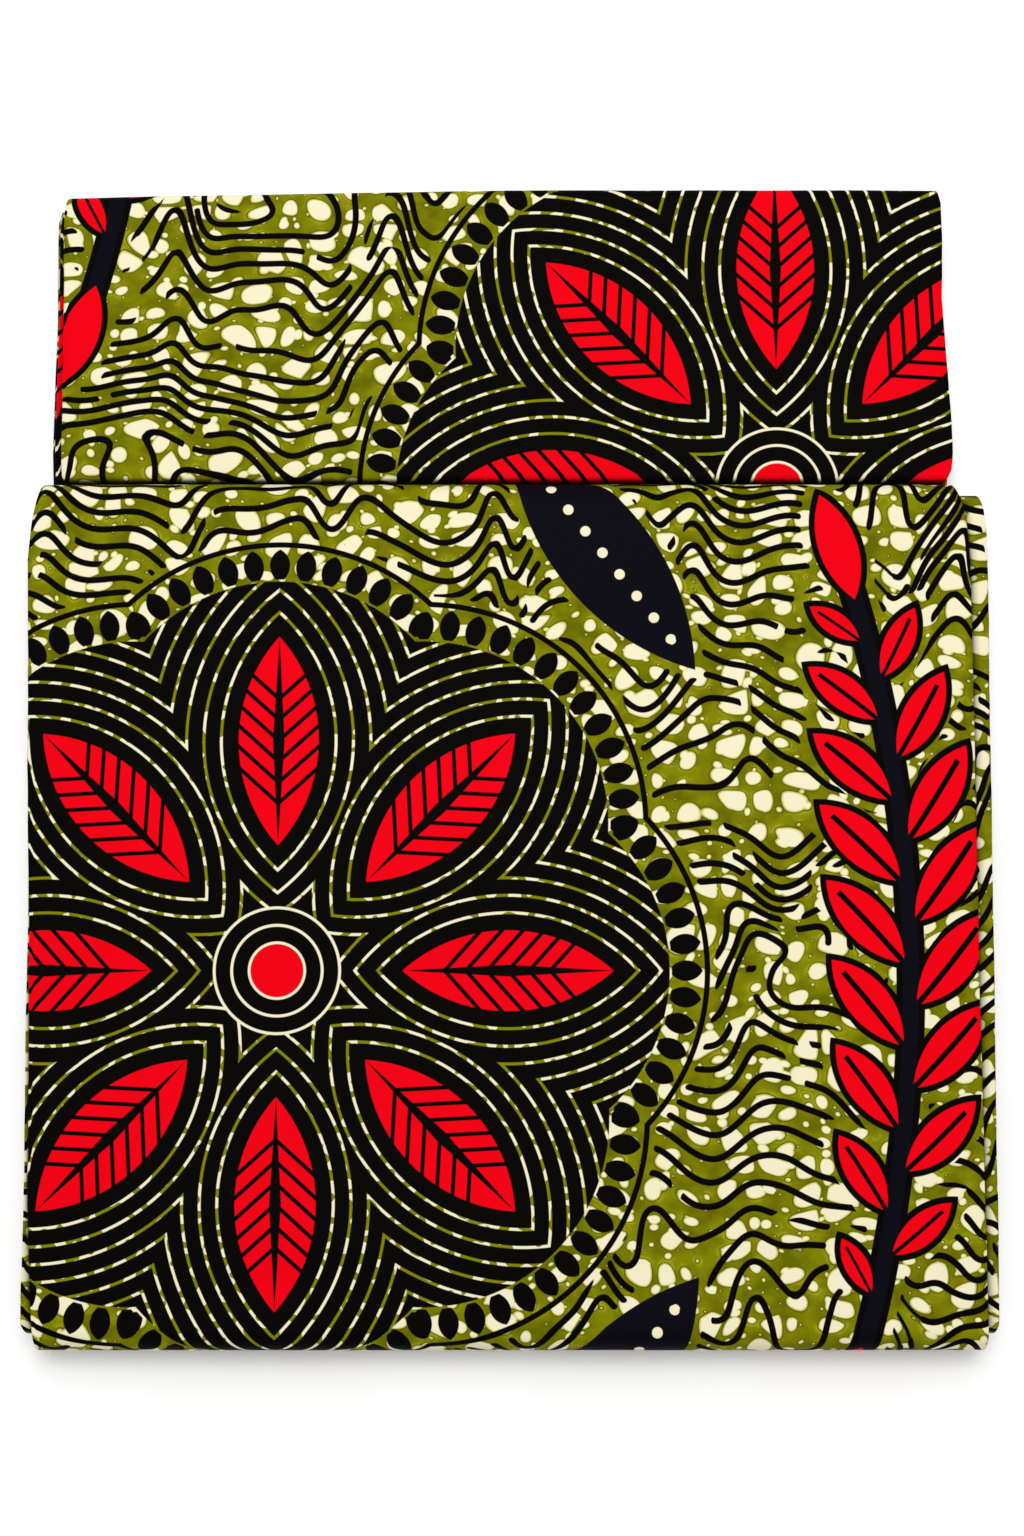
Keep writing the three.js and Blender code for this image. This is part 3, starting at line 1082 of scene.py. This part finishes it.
@dataclass(frozen=True)
class WaxPrintCotton:
    """Wax resist print on plain weave cotton.

    The cloth is printed with wax and dyed, so that the wax leaves cream bubbles with dark rims in
    the olive ground, and the motifs are blocked on in black, red and navy. To the eye that gives
    flat, deep colours with crisp edges and hardly any gloss. The repeat has a flower of eight
    petals, a bent spray and a pointed drop, in half drop. Sizes are in millimetres of cloth, and
    the leaves' slant and the drop's turn in degrees. A contrast and its least or middle say how
    sharply a noise turns one dye into another, and where.
    """

    olive_deep: str = "#666700"
    olive: str = "#828304"
    rim: str = "#5E5F00"
    lime: str = "#D2CF7C"
    halo: str = "#A6A61C"
    cream: str = "#F5EDC9"
    red: str = "#F10014"
    navy: str = "#0C0B14"
    # The black dye, which is also the colour that the painted shade where sheets meet darkens
    # toward.
    black: str = "#060504"

    repeat_across: float = 390.0
    repeat_along: float = 360.0
    flower_across: float = 133.0
    flower_along: float = 180.0
    bleed: float = 0.2

    # The flower. Places are distances from its middle.
    petals: int = 8
    petal_place: float = 63.0
    petal_round: float = 56.0
    seed_place: float = 70.0
    seed: Lens = Lens(32.0, 12.2)
    rib_half: float = 1.8
    rib_end: float = 32.0
    barb_step: float = 6.4
    barb_half: float = 0.85
    barb_slant: float = 0.9
    barb_back: float = 3.2
    barb_end: float = 20.5
    echo_step: float = 5.3
    echo_half: float = 0.42
    echo_start: float = 1.2  # how far outside a seed its echo lines start
    heart: float = 19.0
    heart_edge: float = 1.0
    heart_core: float = 8.0
    bead_out: float = 4.8
    bead_start: float = 0.6
    bead_turn: float = 0.132  # from one bead to the next round a petal, in radians
    bead: Lens = Lens(5.2, 3.1)
    border: float = 11.4
    border_half: float = 0.85

    # The spray
    spray_place: float = 192.0
    spray_bend: float = 420.0
    spray_half: float = 118.0
    leaf_step: float = 25.0
    leaf_slant: float = 40.0
    leaf: Lens = Lens(17.5, 6.6)
    leaf_foot: float = 3.0  # how far a leaf's lower end is from the middle of the stem
    leaf_least: float = 0.12  # the square of the smallest leaf's share of the full size
    leafless: float = 10.0  # the length of each end of the stem with no leaf
    vein_half: float = 0.9
    vein_end: float = 0.7  # as a share of the leaf's half length
    bud_place: float = 14.0
    bud: Lens = Lens(17.0, 6.0)
    stem_half: float = 2.5
    outline: float = 1.9

    # The drops
    drop_across: float = 99.0
    drop_along: float = 128.0
    drop_turn: float = 52.0
    drop: Lens = Lens(46.0, 15.0)
    dot_step: float = 8.5
    dot_size: float = 1.6
    dot_margin: float = 5.0

    # The wavy lines
    wave_step: float = 7.9
    wave_half: float = 0.98
    wave_swing: float = 52.0
    wave_nudge: float = 0.5  # the step over which the slope of the waves is measured
    wave_flat: float = 0.4  # the waves count as at least this steep, so that none gets too wide
    wave_run: float = 86.0
    wave_gap: float = 3.4
    wave_shift: float = 60.0
    clearance: float = 2.4

    # The bubbles and the specks between them, by the space for each, and what rings them
    bubble_space: float = 8.2
    bubble_least: float = 1.6
    bubble_most: float = 2.9
    bubble_squeeze: float = 0.82
    bubble_strew: float = 0.75  # 1 strews the bubbles at random, and 0 sets them in rows
    bubble_soft: float = 3.2
    vein_between: float = 0.42
    speck_space: float = 4.8
    speck_least: float = 0.15
    speck_most: float = 1.4
    wax_soft: float = 0.5
    rim_width: float = 0.34
    lime_width: float = 0.3
    halo_width: float = 1.3
    halo_contrast: float = 6.0
    halo_least: float = 3.3
    olive_contrast: float = 3.0
    olive_least: float = 0.9
    dash_contrast: float = 8.0
    dash_middle: float = 0.5
    bend_space: float = 18.0
    bend: float = 7.0

    # The noises
    swing: Cloud = Cloud(42.0, 76.0, curl=0.9)  # bends the waves
    stray: Cloud = Cloud(30.0, 30.0, 1700.0, 1700.0)  # shifts the gaps in them
    dash: Cloud = Cloud(3.6, 3.6, 110.0, 110.0)  # breaks the echo lines into cream and olive
    mottle: Cloud = Cloud(9.0, 7.0, 70.0, 50.0, detail=2.0)  # makes the olive dye uneven

    # The surface
    thread: float = 0.9  # real threads are about 0.3 mm apart, too fine to show, so coarser here
    thread_height: float = 0.05
    thread_relief: float = 0.3
    roughness: float = 0.62
    gloss: float = 0.02
    # The painted shade where sheets meet: ambient occlusion darkens the print toward black, with
    # this reach, depth and number of samples.
    seam_reach: float = 3.0  # how far from where sheets meet the painted shade reaches
    seam_depth: float = 2.3
    seam_samples: int = 8

    def build(self) -> bpy.types.Material:
        """Build the material.

        Returns:
            The material, which reads each piece's own map of the flat cloth.
        """
        material = bpy.data.materials.new("wax_print_cotton")
        material.use_nodes = True
        tree = material.node_tree
        tree.nodes.clear()
        chart = add_node(tree, "ShaderNodeUVMap", {"uv_map": CLOTH_MAP})
        metres = add_node(tree, "ShaderNodeSeparateXYZ", inputs={0: chart.outputs[0]})
        numbers = (int, float)
        sizes = {name: size for name, size in asdict(self).items() if isinstance(size, numbers)}
        work = Formulas(tree, **sizes, s_metres=metres.outputs[0], t_metres=metres.outputs[1])
        work.let(s="s_metres * 1000", t="t_metres * 1000")
        self._lay_repeat(work)
        self._draw_clouds(work)
        self._draw_flower(work)
        self._draw_spray(work)
        self._draw_drop(work)
        self._draw_waves(work)
        self._draw_bubbles(work)
        self._finish(work, self._dye(work))
        return material

    def _lay_repeat(self, work: Formulas) -> None:
        """Lay the repeat in half drop: every other column of it is half a repeat lower.

        Args:
            work: The drawing to add it to.
        """
        work.let(
            column="floor(s / repeat_across)",
            fx="s - column * repeat_across - flower_across",
            shift="pingpong(column, 1) * repeat_along / 2",
            y="mod(t + shift, repeat_along) - flower_along",
        )

    def _draw_clouds(self, work: Formulas) -> None:
        """Draw the soft noises that the rest of the print is made uneven with.

        Args:
            work: The drawing to add it to.
        """
        place = add_node(work.tree, "ShaderNodeCombineXYZ", inputs={0: work["s"], 1: work["t"]})
        work.let(place=place.outputs[0])
        self.mottle.draw(work, "mottle")
        self.dash.draw(work, "dash")
        self.stray.draw(work, "stray")
        self.swing.draw(work, "swing")
        self.swing.draw(work, "swing_s", aside=self.wave_nudge)
        self.swing.draw(work, "swing_t", along=self.wave_nudge)

    def _draw_flower(self, work: Formulas) -> None:
        """Draw a black flower of round petals, each with a red seed and echo lines round it.

        Args:
            work: The drawing to add it to.
        """
        work.let(
            reach="sqrt(fx * fx + y * y)",
            turn="pingpong(atan2(y, fx), pi / petals)",
            px="reach * cos(turn)",
            py="reach * sin(turn)",
            from_seed="px - seed_place",
            from_petal="px - petal_place",
            rim="sqrt(from_petal * from_petal + py * py) - petal_round",
            bead_turned="pingpong(atan2(py, from_petal), bead_turn / 2)",
        )
        self.seed.draw(work, "seed", "from_seed", "py")
        self.bead.draw(work, "bead", "rim - bead_out", "bead_turned * (petal_round + bead_out)")
        work.let(
            echo="pingpong(seed, echo_step / 2) - echo_half",
            rib="py - rib_half * (1 - abs(from_seed) / rib_end)",
            barb_at="from_seed - barb_slant * py",
            barb_line="pingpong(barb_at, barb_step / 2) - barb_half",
            barb="max(barb_line, abs(barb_at + barb_back) - barb_end)",
            border_line="abs(rim - border) - border_half",
            heart_line="pingpong(reach - heart, echo_step / 2) - echo_half",
        )

    def _draw_spray(self, work: Formulas) -> None:
        """Draw a bent stem with red leaves that lean along it on both sides, and two buds.

        Args:
            work: The drawing to add it to.
        """
        slant = math.radians(self.leaf_slant)
        work.let(
            leaf_long=self.leaf.half_length,
            sine=math.sin(slant),
            cosine=math.cos(slant),
            bend_x="fx - spray_place + spray_bend",
            off_stem="sqrt(bend_x * bend_x + y * y) - spray_bend",
            stem_run="atan2(y, bend_x) * spray_bend",
            aside="abs(off_stem)",
            half_step="less(off_stem, 0) * leaf_step / 2",
            slid="stem_run - aside * cosine / sine + half_step",
            leaf_at="(floor(slid / leaf_step) + 0.5) * leaf_step",
            off_leaf="slid - leaf_at",
            leaf_run="abs(leaf_at - half_step)",
            leaf_share="leaf_run / spray_half",
            leaf_size="sqrt(max(1 - leaf_share * leaf_share, leaf_least))",
            leaf_u="(off_leaf * cosine + aside / sine - leaf_foot) / leaf_size - leaf_long",
            leaf_v="abs(off_leaf) * sine / leaf_size",
        )
        self.leaf.draw(work, "any_leaf", "leaf_u", "leaf_v")
        self.bud.draw(work, "bud", "abs(stem_run) - spray_half - bud_place", "aside")
        work.let(
            leaf="max(any_leaf * leaf_size, leaf_run - spray_half + leafless)",
            vein="max(leaf_v - vein_half, leaf_u - leaf_long * vein_end)",
            stem="max(aside - stem_half, abs(stem_run) - spray_half)",
            spray="min(min(leaf, bud), stem)",
        )

    def _draw_drop(self, work: Formulas) -> None:
        """Draw a navy pointed oval with a row of cream dots, above and below each flower.

        Args:
            work: The drawing to add it to.
        """
        turn = math.radians(self.drop_turn)
        work.let(
            turn_sine=math.sin(turn),
            turn_cosine=math.cos(turn),
            dx="fx - drop_across",
            dy="abs(y) - drop_along",
            drop_u="dy * turn_sine - dx * turn_cosine",
            drop_v="abs(dx * turn_sine + dy * turn_cosine)",
        )
        self.drop.draw(work, "drop", "drop_u", "drop_v")
        work.let(
            dot_u="pingpong(drop_u, dot_step / 2)",
            dot="max(sqrt(dot_u * dot_u + drop_v * drop_v) - dot_size, drop + dot_margin)",
        )

    def _draw_waves(self, work: Formulas) -> None:
        """Draw wavy lines of even width with round ends, broken here and there.

        Args:
            work: The drawing to add it to.
        """
        work.let(
            flow="swing * wave_swing + t",
            slope_s="(swing_s - swing) * wave_swing / wave_nudge",
            slope_t="(swing_t - swing) * wave_swing / wave_nudge + 1",
            slope="max(sqrt(slope_s * slope_s + slope_t * slope_t), wave_flat)",
            wave_line="pingpong(flow, wave_step / 2) / slope - wave_half",
            wave_number="floor(flow / wave_step + 0.5)",
        )
        chance = add_node(
            work.tree,
            "ShaderNodeTexWhiteNoise",
            {"noise_dimensions": "1D"},
            {"W": work["wave_number"]},
        )
        work.let(
            chance=chance.outputs["Value"],
            wave_at="s + stray * wave_shift + chance * wave_run",
            wave_break="wave_gap - pingpong(wave_at, wave_run / 2)",
            nearest="min(min(rim - border, spray - outline), drop)",
            wave_stop="max(wave_break, clearance - nearest)",
            cap_a="max(wave_line + wave_half, 0)",
            cap_b="max(wave_stop + wave_half, 0)",
            wave="sqrt(cap_a * cap_a + cap_b * cap_b) - wave_half",
        )

    def _draw_bubbles(self, work: Formulas) -> None:
        """Draw bubbles of two sizes where the wax kept the dye off, parted by thin veins.

        Args:
            work: The drawing to add it to.
        """
        tree = work.tree
        warp = add_node(
            tree,
            "ShaderNodeTexNoise",
            {"noise_dimensions": "2D"},
            {"Vector": work["place"], "Scale": 1 / self.bend_space, "Detail": 0.0},
        )
        bent = add_node(
            tree,
            "ShaderNodeVectorMath",
            {"operation": "MULTIPLY_ADD"},
            {0: warp.outputs["Color"], 1: (self.bend, self.bend, 0.0), 2: work["place"]},
        )
        flattened = add_node(
            tree,
            "ShaderNodeVectorMath",
            {"operation": "MULTIPLY"},
            {0: bent.outputs[0], 1: (self.bubble_squeeze, 1.0, 0.0)},
        )
        for name, feature, space in (
            ("bubble", "F1", self.bubble_space),
            ("edge", "DISTANCE_TO_EDGE", self.bubble_space),
            ("speck", "F1", self.speck_space),
        ):
            cell = add_node(
                tree,
                "ShaderNodeTexVoronoi",
                {"voronoi_dimensions": "2D", "feature": feature},
                {
                    "Vector": flattened.outputs[0],
                    "Scale": 1 / space,
                    "Randomness": self.bubble_strew,
                },
            )
            work.let(**{f"{name}_away": cell.outputs["Distance"]})
            if feature == "F1":
                chance = add_node(
                    tree, "ShaderNodeSeparateColor", inputs={0: cell.outputs["Color"]}
                )
                work.let(**{f"{name}_chance": chance.outputs[0]})
        work.let(
            bubble_radius="bubble_chance * bubble_most + bubble_least",
            round_bubble="bubble_away * bubble_space - bubble_radius",
            parted="vein_between - edge_away * bubble_space",
            bubble="soft_max(round_bubble, parted, bubble_soft)",
            speck_radius="speck_chance * speck_chance * speck_most",
            speck="speck_away * speck_space - speck_radius - speck_least",
            wax="soft_min(bubble, speck, wax_soft)",
        )

    def _dye(self, work: Formulas) -> bpy.types.NodeSocket:
        """Lay the dyes over each other, from the ground up.

        Args:
            work: The drawing so far.

        Returns:
            The colour of the print.
        """
        work.let(
            in_rim="ink(rim)",
            echoes="ink(max(echo, echo_start - seed)) * in_rim",
            body="max(in_rim, ink(max(bead, bead_start - rim)))",
            seeds="ink(seed) * (1 - ink(min(rib, barb))) * in_rim",
        )
        colour: bpy.types.NodeSocket | tuple = linear(self.olive_deep)
        for dye, where in (
            (self.olive, "share(mottle * olive_contrast - olive_least)"),
            (self.halo, "share(halo_width - wax) * share(mottle * halo_contrast - halo_least)"),
            (self.rim, "ink(wax - rim_width)"),
            (self.lime, "ink(wax)"),
            (self.cream, "ink(wax + lime_width)"),
            (self.black, "max(body, max(ink(wave), ink(border_line)))"),
            (self.olive, "echoes"),
            (self.cream, "echoes * ink((dash_middle - dash) * dash_contrast)"),
            (self.black, "ink(reach - heart)"),
            (self.cream, "ink(max(heart_line, reach - heart - heart_edge))"),
            (self.red, "max(seeds, ink(reach - heart_core))"),
            (self.navy, "ink(drop)"),
            (self.cream, "ink(dot)"),
            (self.black, "ink(spray - outline)"),
            (self.navy, "ink(stem)"),
            (self.red, "max(ink(max(leaf, 0 - vein)), ink(bud))"),
        ):
            inputs = {0: work.let(mask=where), 6: colour, 7: linear(dye)}
            colour = add_node(work.tree, "ShaderNodeMix", {"data_type": "RGBA"}, inputs).outputs[2]
        return colour

    def _finish(self, work: Formulas, colour: bpy.types.NodeSocket) -> None:
        """Give the dyed cloth its weave, its dull surface and a painted shade where sheets meet,
        which darkens the colour toward black by ambient occlusion.

        Args:
            work: The drawing so far.
            colour: The colour of the print.
        """
        tree = work.tree
        # Painted shade: ambient occlusion mixes the print toward the black dye where sheets meet,
        # deeper than the lamps' own shade.
        painted_shade_ao = add_node(
            tree,
            "ShaderNodeAmbientOcclusion",
            {"samples": self.seam_samples},
            {"Distance": self.seam_reach * MM},
        )
        work.let(
            weave="sin(s * 2 * pi / thread) * sin(t * 2 * pi / thread)",
            openness=painted_shade_ao.outputs["AO"],
            lit="share(1 - (1 - openness) * seam_depth)",
        )
        shaded = add_node(
            tree,
            "ShaderNodeMix",
            {"data_type": "RGBA"},
            {0: work["lit"], 6: linear(self.black), 7: colour},
        )
        bump = add_node(
            tree,
            "ShaderNodeBump",
            inputs={
                "Strength": self.thread_relief,
                "Distance": self.thread_height * MM,
                "Height": work["weave"],
            },
        )
        shader = add_node(
            tree,
            "ShaderNodeBsdfPrincipled",
            inputs={
                "Base Color": shaded.outputs[2],
                "Roughness": self.roughness,
                "Specular IOR Level": self.gloss,
                "Normal": bump.outputs[0],
            },
        )
        add_node(tree, "ShaderNodeOutputMaterial", inputs={0: shader.outputs[0]})


PRINT = WaxPrintCotton()


# ------------------------------------------------------------------ the base and the two piles


@dataclass(frozen=True)
class Base:
    """The lower layers, which run the whole length, and the strip that lies on them."""

    outline: tuple[EdgeRow, ...] = (
        EdgeRow(y=-176, left=-144.6, right=143.2),
        EdgeRow(y=60, left=-144.6, right=142.2),
        EdgeRow(y=86, left=-143.0, right=138.5),
        EdgeRow(y=98, left=-143.5, right=139.6),
        EdgeRow(y=146, left=-142.7, right=136.7),
        EdgeRow(y=176, left=-142.9, right=136.8),
    )
    rows: tuple[StripRow, ...] = (
        StripRow(left=0.5, right=-0.7, front=-176.2, back=176.4),
        StripRow(left=-0.4, right=0.2, front=-176.9, back=177.6),
        StripRow(left=0.1, right=0.5, front=-177.7, back=177.9),
        StripRow(left=-0.6, right=-0.3, front=-177.9, back=176.8),
        StripRow(left=0.1, right=0.3, front=-177.0, back=177.1),
        StripRow(left=-0.5, right=-0.5, front=-177.4, back=177.7),
    )
    step_edges: tuple[EdgeRow, ...] = (
        EdgeRow(y=-175.5, left=-143.6, right=142.6),
        EdgeRow(y=-172, left=-144.6, right=143.4),
        EdgeRow(y=60, left=-144.4, right=142.0),
        EdgeRow(y=86, left=-142.6, right=137.8),
        EdgeRow(y=98, left=-143.0, right=138.8),
        EdgeRow(y=146, left=-142.2, right=136.0),
        EdgeRow(y=173, left=-142.4, right=136.2),
        EdgeRow(y=176.6, left=-141.4, right=135.0),
    )

    @property
    def top(self) -> float:
        """Return the height on which the two piles lie."""
        return (len(self.rows) + 1) * STRIP_PITCH

    def build(self, cotton: bpy.types.Material) -> None:
        """Build the hidden layers and the strip on top of them.

        Args:
            cotton: The printed cotton they are cut from.
        """
        LayeredBlock(
            node="base_layers",
            rests_on="floor",
            seed=11.0,
            wander=0.5,
            bottom=0.0,
            rows=self.rows,
            outline=self.outline,
        ).build(cotton)
        front, back = self.step_edges[0].y, self.step_edges[-1].y
        Stretch(
            node="step_strip",
            rests_on="base_layers_cloth",
            seed=2.9,
            path=FlatRun(front=front, back=back, bottom=len(self.rows) * STRIP_PITCH),
            edges=self.step_edges,
            flower=(-150.0, 60.0),
        ).build(cotton)


BASE = Base()


@dataclass(frozen=True)
class FrontPile:
    """The thick pile in front: two stretches folded round six hidden strips."""

    reach: float = 7.0
    under_front_inset: float = 3.2
    under_back_inset: float = 1.6
    flower: tuple[float, float] = (-70.0, -66.0)
    under_flower: tuple[float, float] = (6.0, -18.0)
    rows: tuple[StripRow, ...] = (
        StripRow(left=-143.6, right=142.4, front=0.8, back=1.4),
        StripRow(left=-145.2, right=143.8, front=0.7, back=0.9),
        StripRow(left=-144.4, right=142.8, front=0.9, back=0.4),
        StripRow(left=-146.0, right=144.6, front=1.2, back=0.6),
        StripRow(left=-145.0, right=143.4, front=0.6, back=1.2),
        StripRow(left=-145.8, right=144.8, front=0.8, back=1.0),
    )
    under_edges: tuple[EdgeRow, ...] = (
        EdgeRow(y=-175.3, left=-145.3, right=146.9),
        EdgeRow(y=-172, left=-146.5, right=147.8),
        EdgeRow(y=-120, left=-146.4, right=147.8),
        EdgeRow(y=0, left=-146.2, right=HALF_WIDTH),
        EdgeRow(y=60, left=-145.8, right=HALF_WIDTH),
        EdgeRow(y=70, left=-145.4, right=147.8),
        EdgeRow(y=76, left=-145.0, right=147.0),
        EdgeRow(y=81.5, left=-144.0, right=145.2),
    )
    wrap_edges: tuple[EdgeRow, ...] = (
        EdgeRow(y=-HALF_LENGTH, left=-142.3, right=143.8),
        EdgeRow(y=-176, left=-142.9, right=144.3),
        EdgeRow(y=-164, left=-143.5, right=144.2),
        EdgeRow(y=-130, left=-144.9, right=143.7),
        EdgeRow(y=-75, left=-145.4, right=143.1),
        EdgeRow(y=16, left=-147.1, right=142.6),
        EdgeRow(y=60, left=-147.9, right=142.3),
        EdgeRow(y=72, left=-147.0, right=141.2),
        EdgeRow(y=78.8, left=-145.6, right=139.7),
        EdgeRow(y=CREVICE_FRONT, left=-144.4, right=137.8),
    )

    def build(self, cotton: bpy.types.Material) -> None:
        """Build the hidden layers and the two stretches round them.

        Args:
            cotton: The printed cotton they are cut from.
        """
        inside = BASE.top + 2 * STRIP_PITCH
        top = inside + (len(self.rows) + 2) * STRIP_PITCH - SEAM_GAP
        sizes = {"bottom": BASE.top, "top": top, "reach": self.reach}
        outer = Loop(front=-HALF_LENGTH, back=CREVICE_FRONT, **sizes)
        inner = Loop(
            front=outer.front + self.under_front_inset,
            back=outer.back - self.under_back_inset,
            stretches_in=1,
            **sizes,
        )
        LayeredBlock(
            node="front_layers",
            rests_on="step_strip_cloth",
            seed=17.0,
            wander=0.5,
            bottom=inside,
            rows=self.rows,
            loop=inner,
        ).build(cotton)
        Stretch(
            node="front_under_fold",
            rests_on="front_layers_cloth",
            seed=4.1,
            path=inner,
            edges=self.under_edges,
            flower=self.under_flower,
        ).build(cotton)
        Stretch(
            node="front_wrap",
            rests_on="front_under_fold_cloth",
            seed=1.3,
            path=outer,
            edges=self.wrap_edges,
            flower=self.flower,
        ).build(cotton)


@dataclass(frozen=True)
class BackPile:
    """The low pile at the back: one stretch folded round two hidden strips."""

    reach: float = 2.7
    flower: tuple[float, float] = (84.0, 84.0)
    rows: tuple[StripRow, ...] = (
        StripRow(left=-139.0, right=135.3, front=0.5, back=0.7),
        StripRow(left=-139.5, right=135.8, front=0.8, back=0.4),
    )
    wrap_edges: tuple[EdgeRow, ...] = (
        EdgeRow(y=CREVICE_BACK, left=-138.4, right=135.0),
        EdgeRow(y=88, left=-139.3, right=137.6),
        EdgeRow(y=91, left=-139.6, right=138.9),
        EdgeRow(y=97, left=-139.8, right=139.3),
        EdgeRow(y=112, left=-139.8, right=138.6),
        EdgeRow(y=128, left=-139.8, right=137.5),
        EdgeRow(y=145, left=-139.8, right=136.5),
        EdgeRow(y=164, left=-140.0, right=136.8),
        EdgeRow(y=176, left=-139.9, right=136.5),
        EdgeRow(y=HALF_LENGTH, left=-138.8, right=135.0),
    )

    def build(self, cotton: bpy.types.Material) -> None:
        """Build the hidden layers and the stretch round them.

        Args:
            cotton: The printed cotton they are cut from.
        """
        inside = BASE.top + STRIP_PITCH
        loop = Loop(
            front=CREVICE_BACK,
            back=HALF_LENGTH,
            bottom=BASE.top,
            top=inside + (len(self.rows) + 1) * STRIP_PITCH - SEAM_GAP,
            reach=self.reach,
            arc_steps=14,
        )
        LayeredBlock(
            node="back_layers",
            rests_on="step_strip_cloth",
            seed=23.0,
            wander=0.4,
            bottom=inside,
            rows=self.rows,
            loop=loop,
        ).build(cotton)
        Stretch(
            node="back_wrap",
            rests_on="back_layers_cloth",
            seed=7.7,
            path=loop,
            edges=self.wrap_edges,
            flower=self.flower,
        ).build(cotton)


# ------------------------------------------------------------------ the studio


@dataclass(frozen=True)
class MattPaper:
    """Matt white paper for the floor, which glows a little so that it stays pale."""

    colour: str = "#FBFBFB"
    glow: float = 0.17

    def build(self) -> bpy.types.Material:
        """Build the material.

        Returns:
            The paper's material.
        """
        material = bpy.data.materials.new("matt_paper_floor")
        material.use_nodes = True
        tree = material.node_tree
        tree.nodes.clear()
        shader = add_node(
            tree,
            "ShaderNodeBsdfPrincipled",
            inputs={
                "Base Color": linear(self.colour),
                "Roughness": 1.0,
                "Specular IOR Level": 0.0,
                "Emission Color": linear(self.colour),
                "Emission Strength": self.glow,
            },
        )
        add_node(tree, "ShaderNodeOutputMaterial", inputs={0: shader.outputs[0]})
        return material


@dataclass(frozen=True)
class Lamp:
    """A round lamp with a soft face, straight behind the cloth and high above it.

    Its elevation is in degrees, its size and distance in metres, and its power in watts. A wide
    face gives the eye a soft shadow in front of the cloth, and a narrow one the line beside it.
    """

    name: str
    elevation: float
    size: float
    power: float
    distance: float = 1.6

    def build(self) -> None:
        """Hang the lamp and turn it to the middle of the floor."""
        data = bpy.data.lights.new(self.name, "AREA")
        data.shape = "DISK"
        data.size = self.size
        data.energy = self.power
        lamp = bpy.data.objects.new(self.name, data)
        elevation = math.radians(self.elevation)
        towards = Vector((0, math.cos(elevation), math.sin(elevation)))
        lamp.location = towards * self.distance
        lamp.rotation_euler = (-towards).to_track_quat("-Z", "Y").to_euler()
        bpy.context.scene.collection.objects.link(lamp)


@dataclass(frozen=True)
class Studio:
    """A pale floor, a pale sky, two lamps above the cloth, and a camera that looks down.

    The pixel is what one pixel of a picture of that height covers at the aim.
    """

    eye_distance: float = 770.0
    eye_elevation: float = 85.0
    aim: Point = (1.2, -4.4, 28.6)
    pixel: float = 0.305
    image_height: int = 1536
    sensor: float = 36.0
    floor_half: float = 3000.0
    farthest_seen: float = 20000.0
    sky_strength: float = 0.4
    lamps: tuple[Lamp, ...] = (
        Lamp("narrow_lamp", elevation=80.0, size=0.5, power=9.4),
        Lamp("wide_lamp", elevation=68.0, size=1.04, power=8.2),
    )

    def build(self) -> None:
        """Build the camera, the floor and the lights."""
        bpy.context.scene.view_settings.view_transform = "Standard"
        self._camera()
        self._floor()
        self._lights()

    def _camera(self) -> None:
        """Place the camera over the cloth, tilted a little to the front."""
        data = bpy.data.cameras.new("camera")
        data.sensor_width = self.sensor
        data.lens = self.sensor * self.eye_distance / (self.pixel * self.image_height)
        data.clip_end = self.farthest_seen * MM
        camera = bpy.data.objects.new("camera", data)
        tilt = math.radians(90 - self.eye_elevation)
        away = Vector((0, -math.sin(tilt), math.cos(tilt))) * self.eye_distance
        camera.location = (Vector(self.aim) + away) * MM
        camera.rotation_euler = (tilt, 0, 0)
        bpy.context.scene.collection.objects.link(camera)
        bpy.context.scene.camera = camera

    def _floor(self) -> None:
        """Lay a plain matt floor."""
        bm = bmesh.new()
        bmesh.ops.create_grid(bm, x_segments=1, y_segments=1, size=self.floor_half * MM)
        mesh = bpy.data.meshes.new("floor")
        bm.to_mesh(mesh)
        bm.free()
        mesh.materials.append(MattPaper().build())
        floor = bpy.data.objects.new("floor", mesh)
        bpy.context.scene.collection.objects.link(floor)

    def _lights(self) -> None:
        """Light the scene from a pale sky and the lamps."""
        world = bpy.data.worlds.new("sky")
        world.use_nodes = True
        world.node_tree.nodes.clear()
        sky = add_node(
            world.node_tree,
            "ShaderNodeBackground",
            inputs={"Color": (1.0, 1.0, 1.0, 1.0), "Strength": self.sky_strength},
        )
        add_node(world.node_tree, "ShaderNodeOutputWorld", inputs={0: sky.outputs[0]})
        bpy.context.scene.world = world
        for lamp in self.lamps:
            lamp.build()


# ------------------------------------------------------------------ everything in order


def main() -> None:
    """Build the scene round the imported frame."""
    logging.basicConfig(level=logging.INFO, format="%(message)s")
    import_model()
    Studio().build()
    cotton = PRINT.build()
    for part in (BASE, FrontPile(), BackPile()):
        LOG.info("%s", type(part).__name__)
        part.build(cotton)


if __name__ == "__main__":
    main()
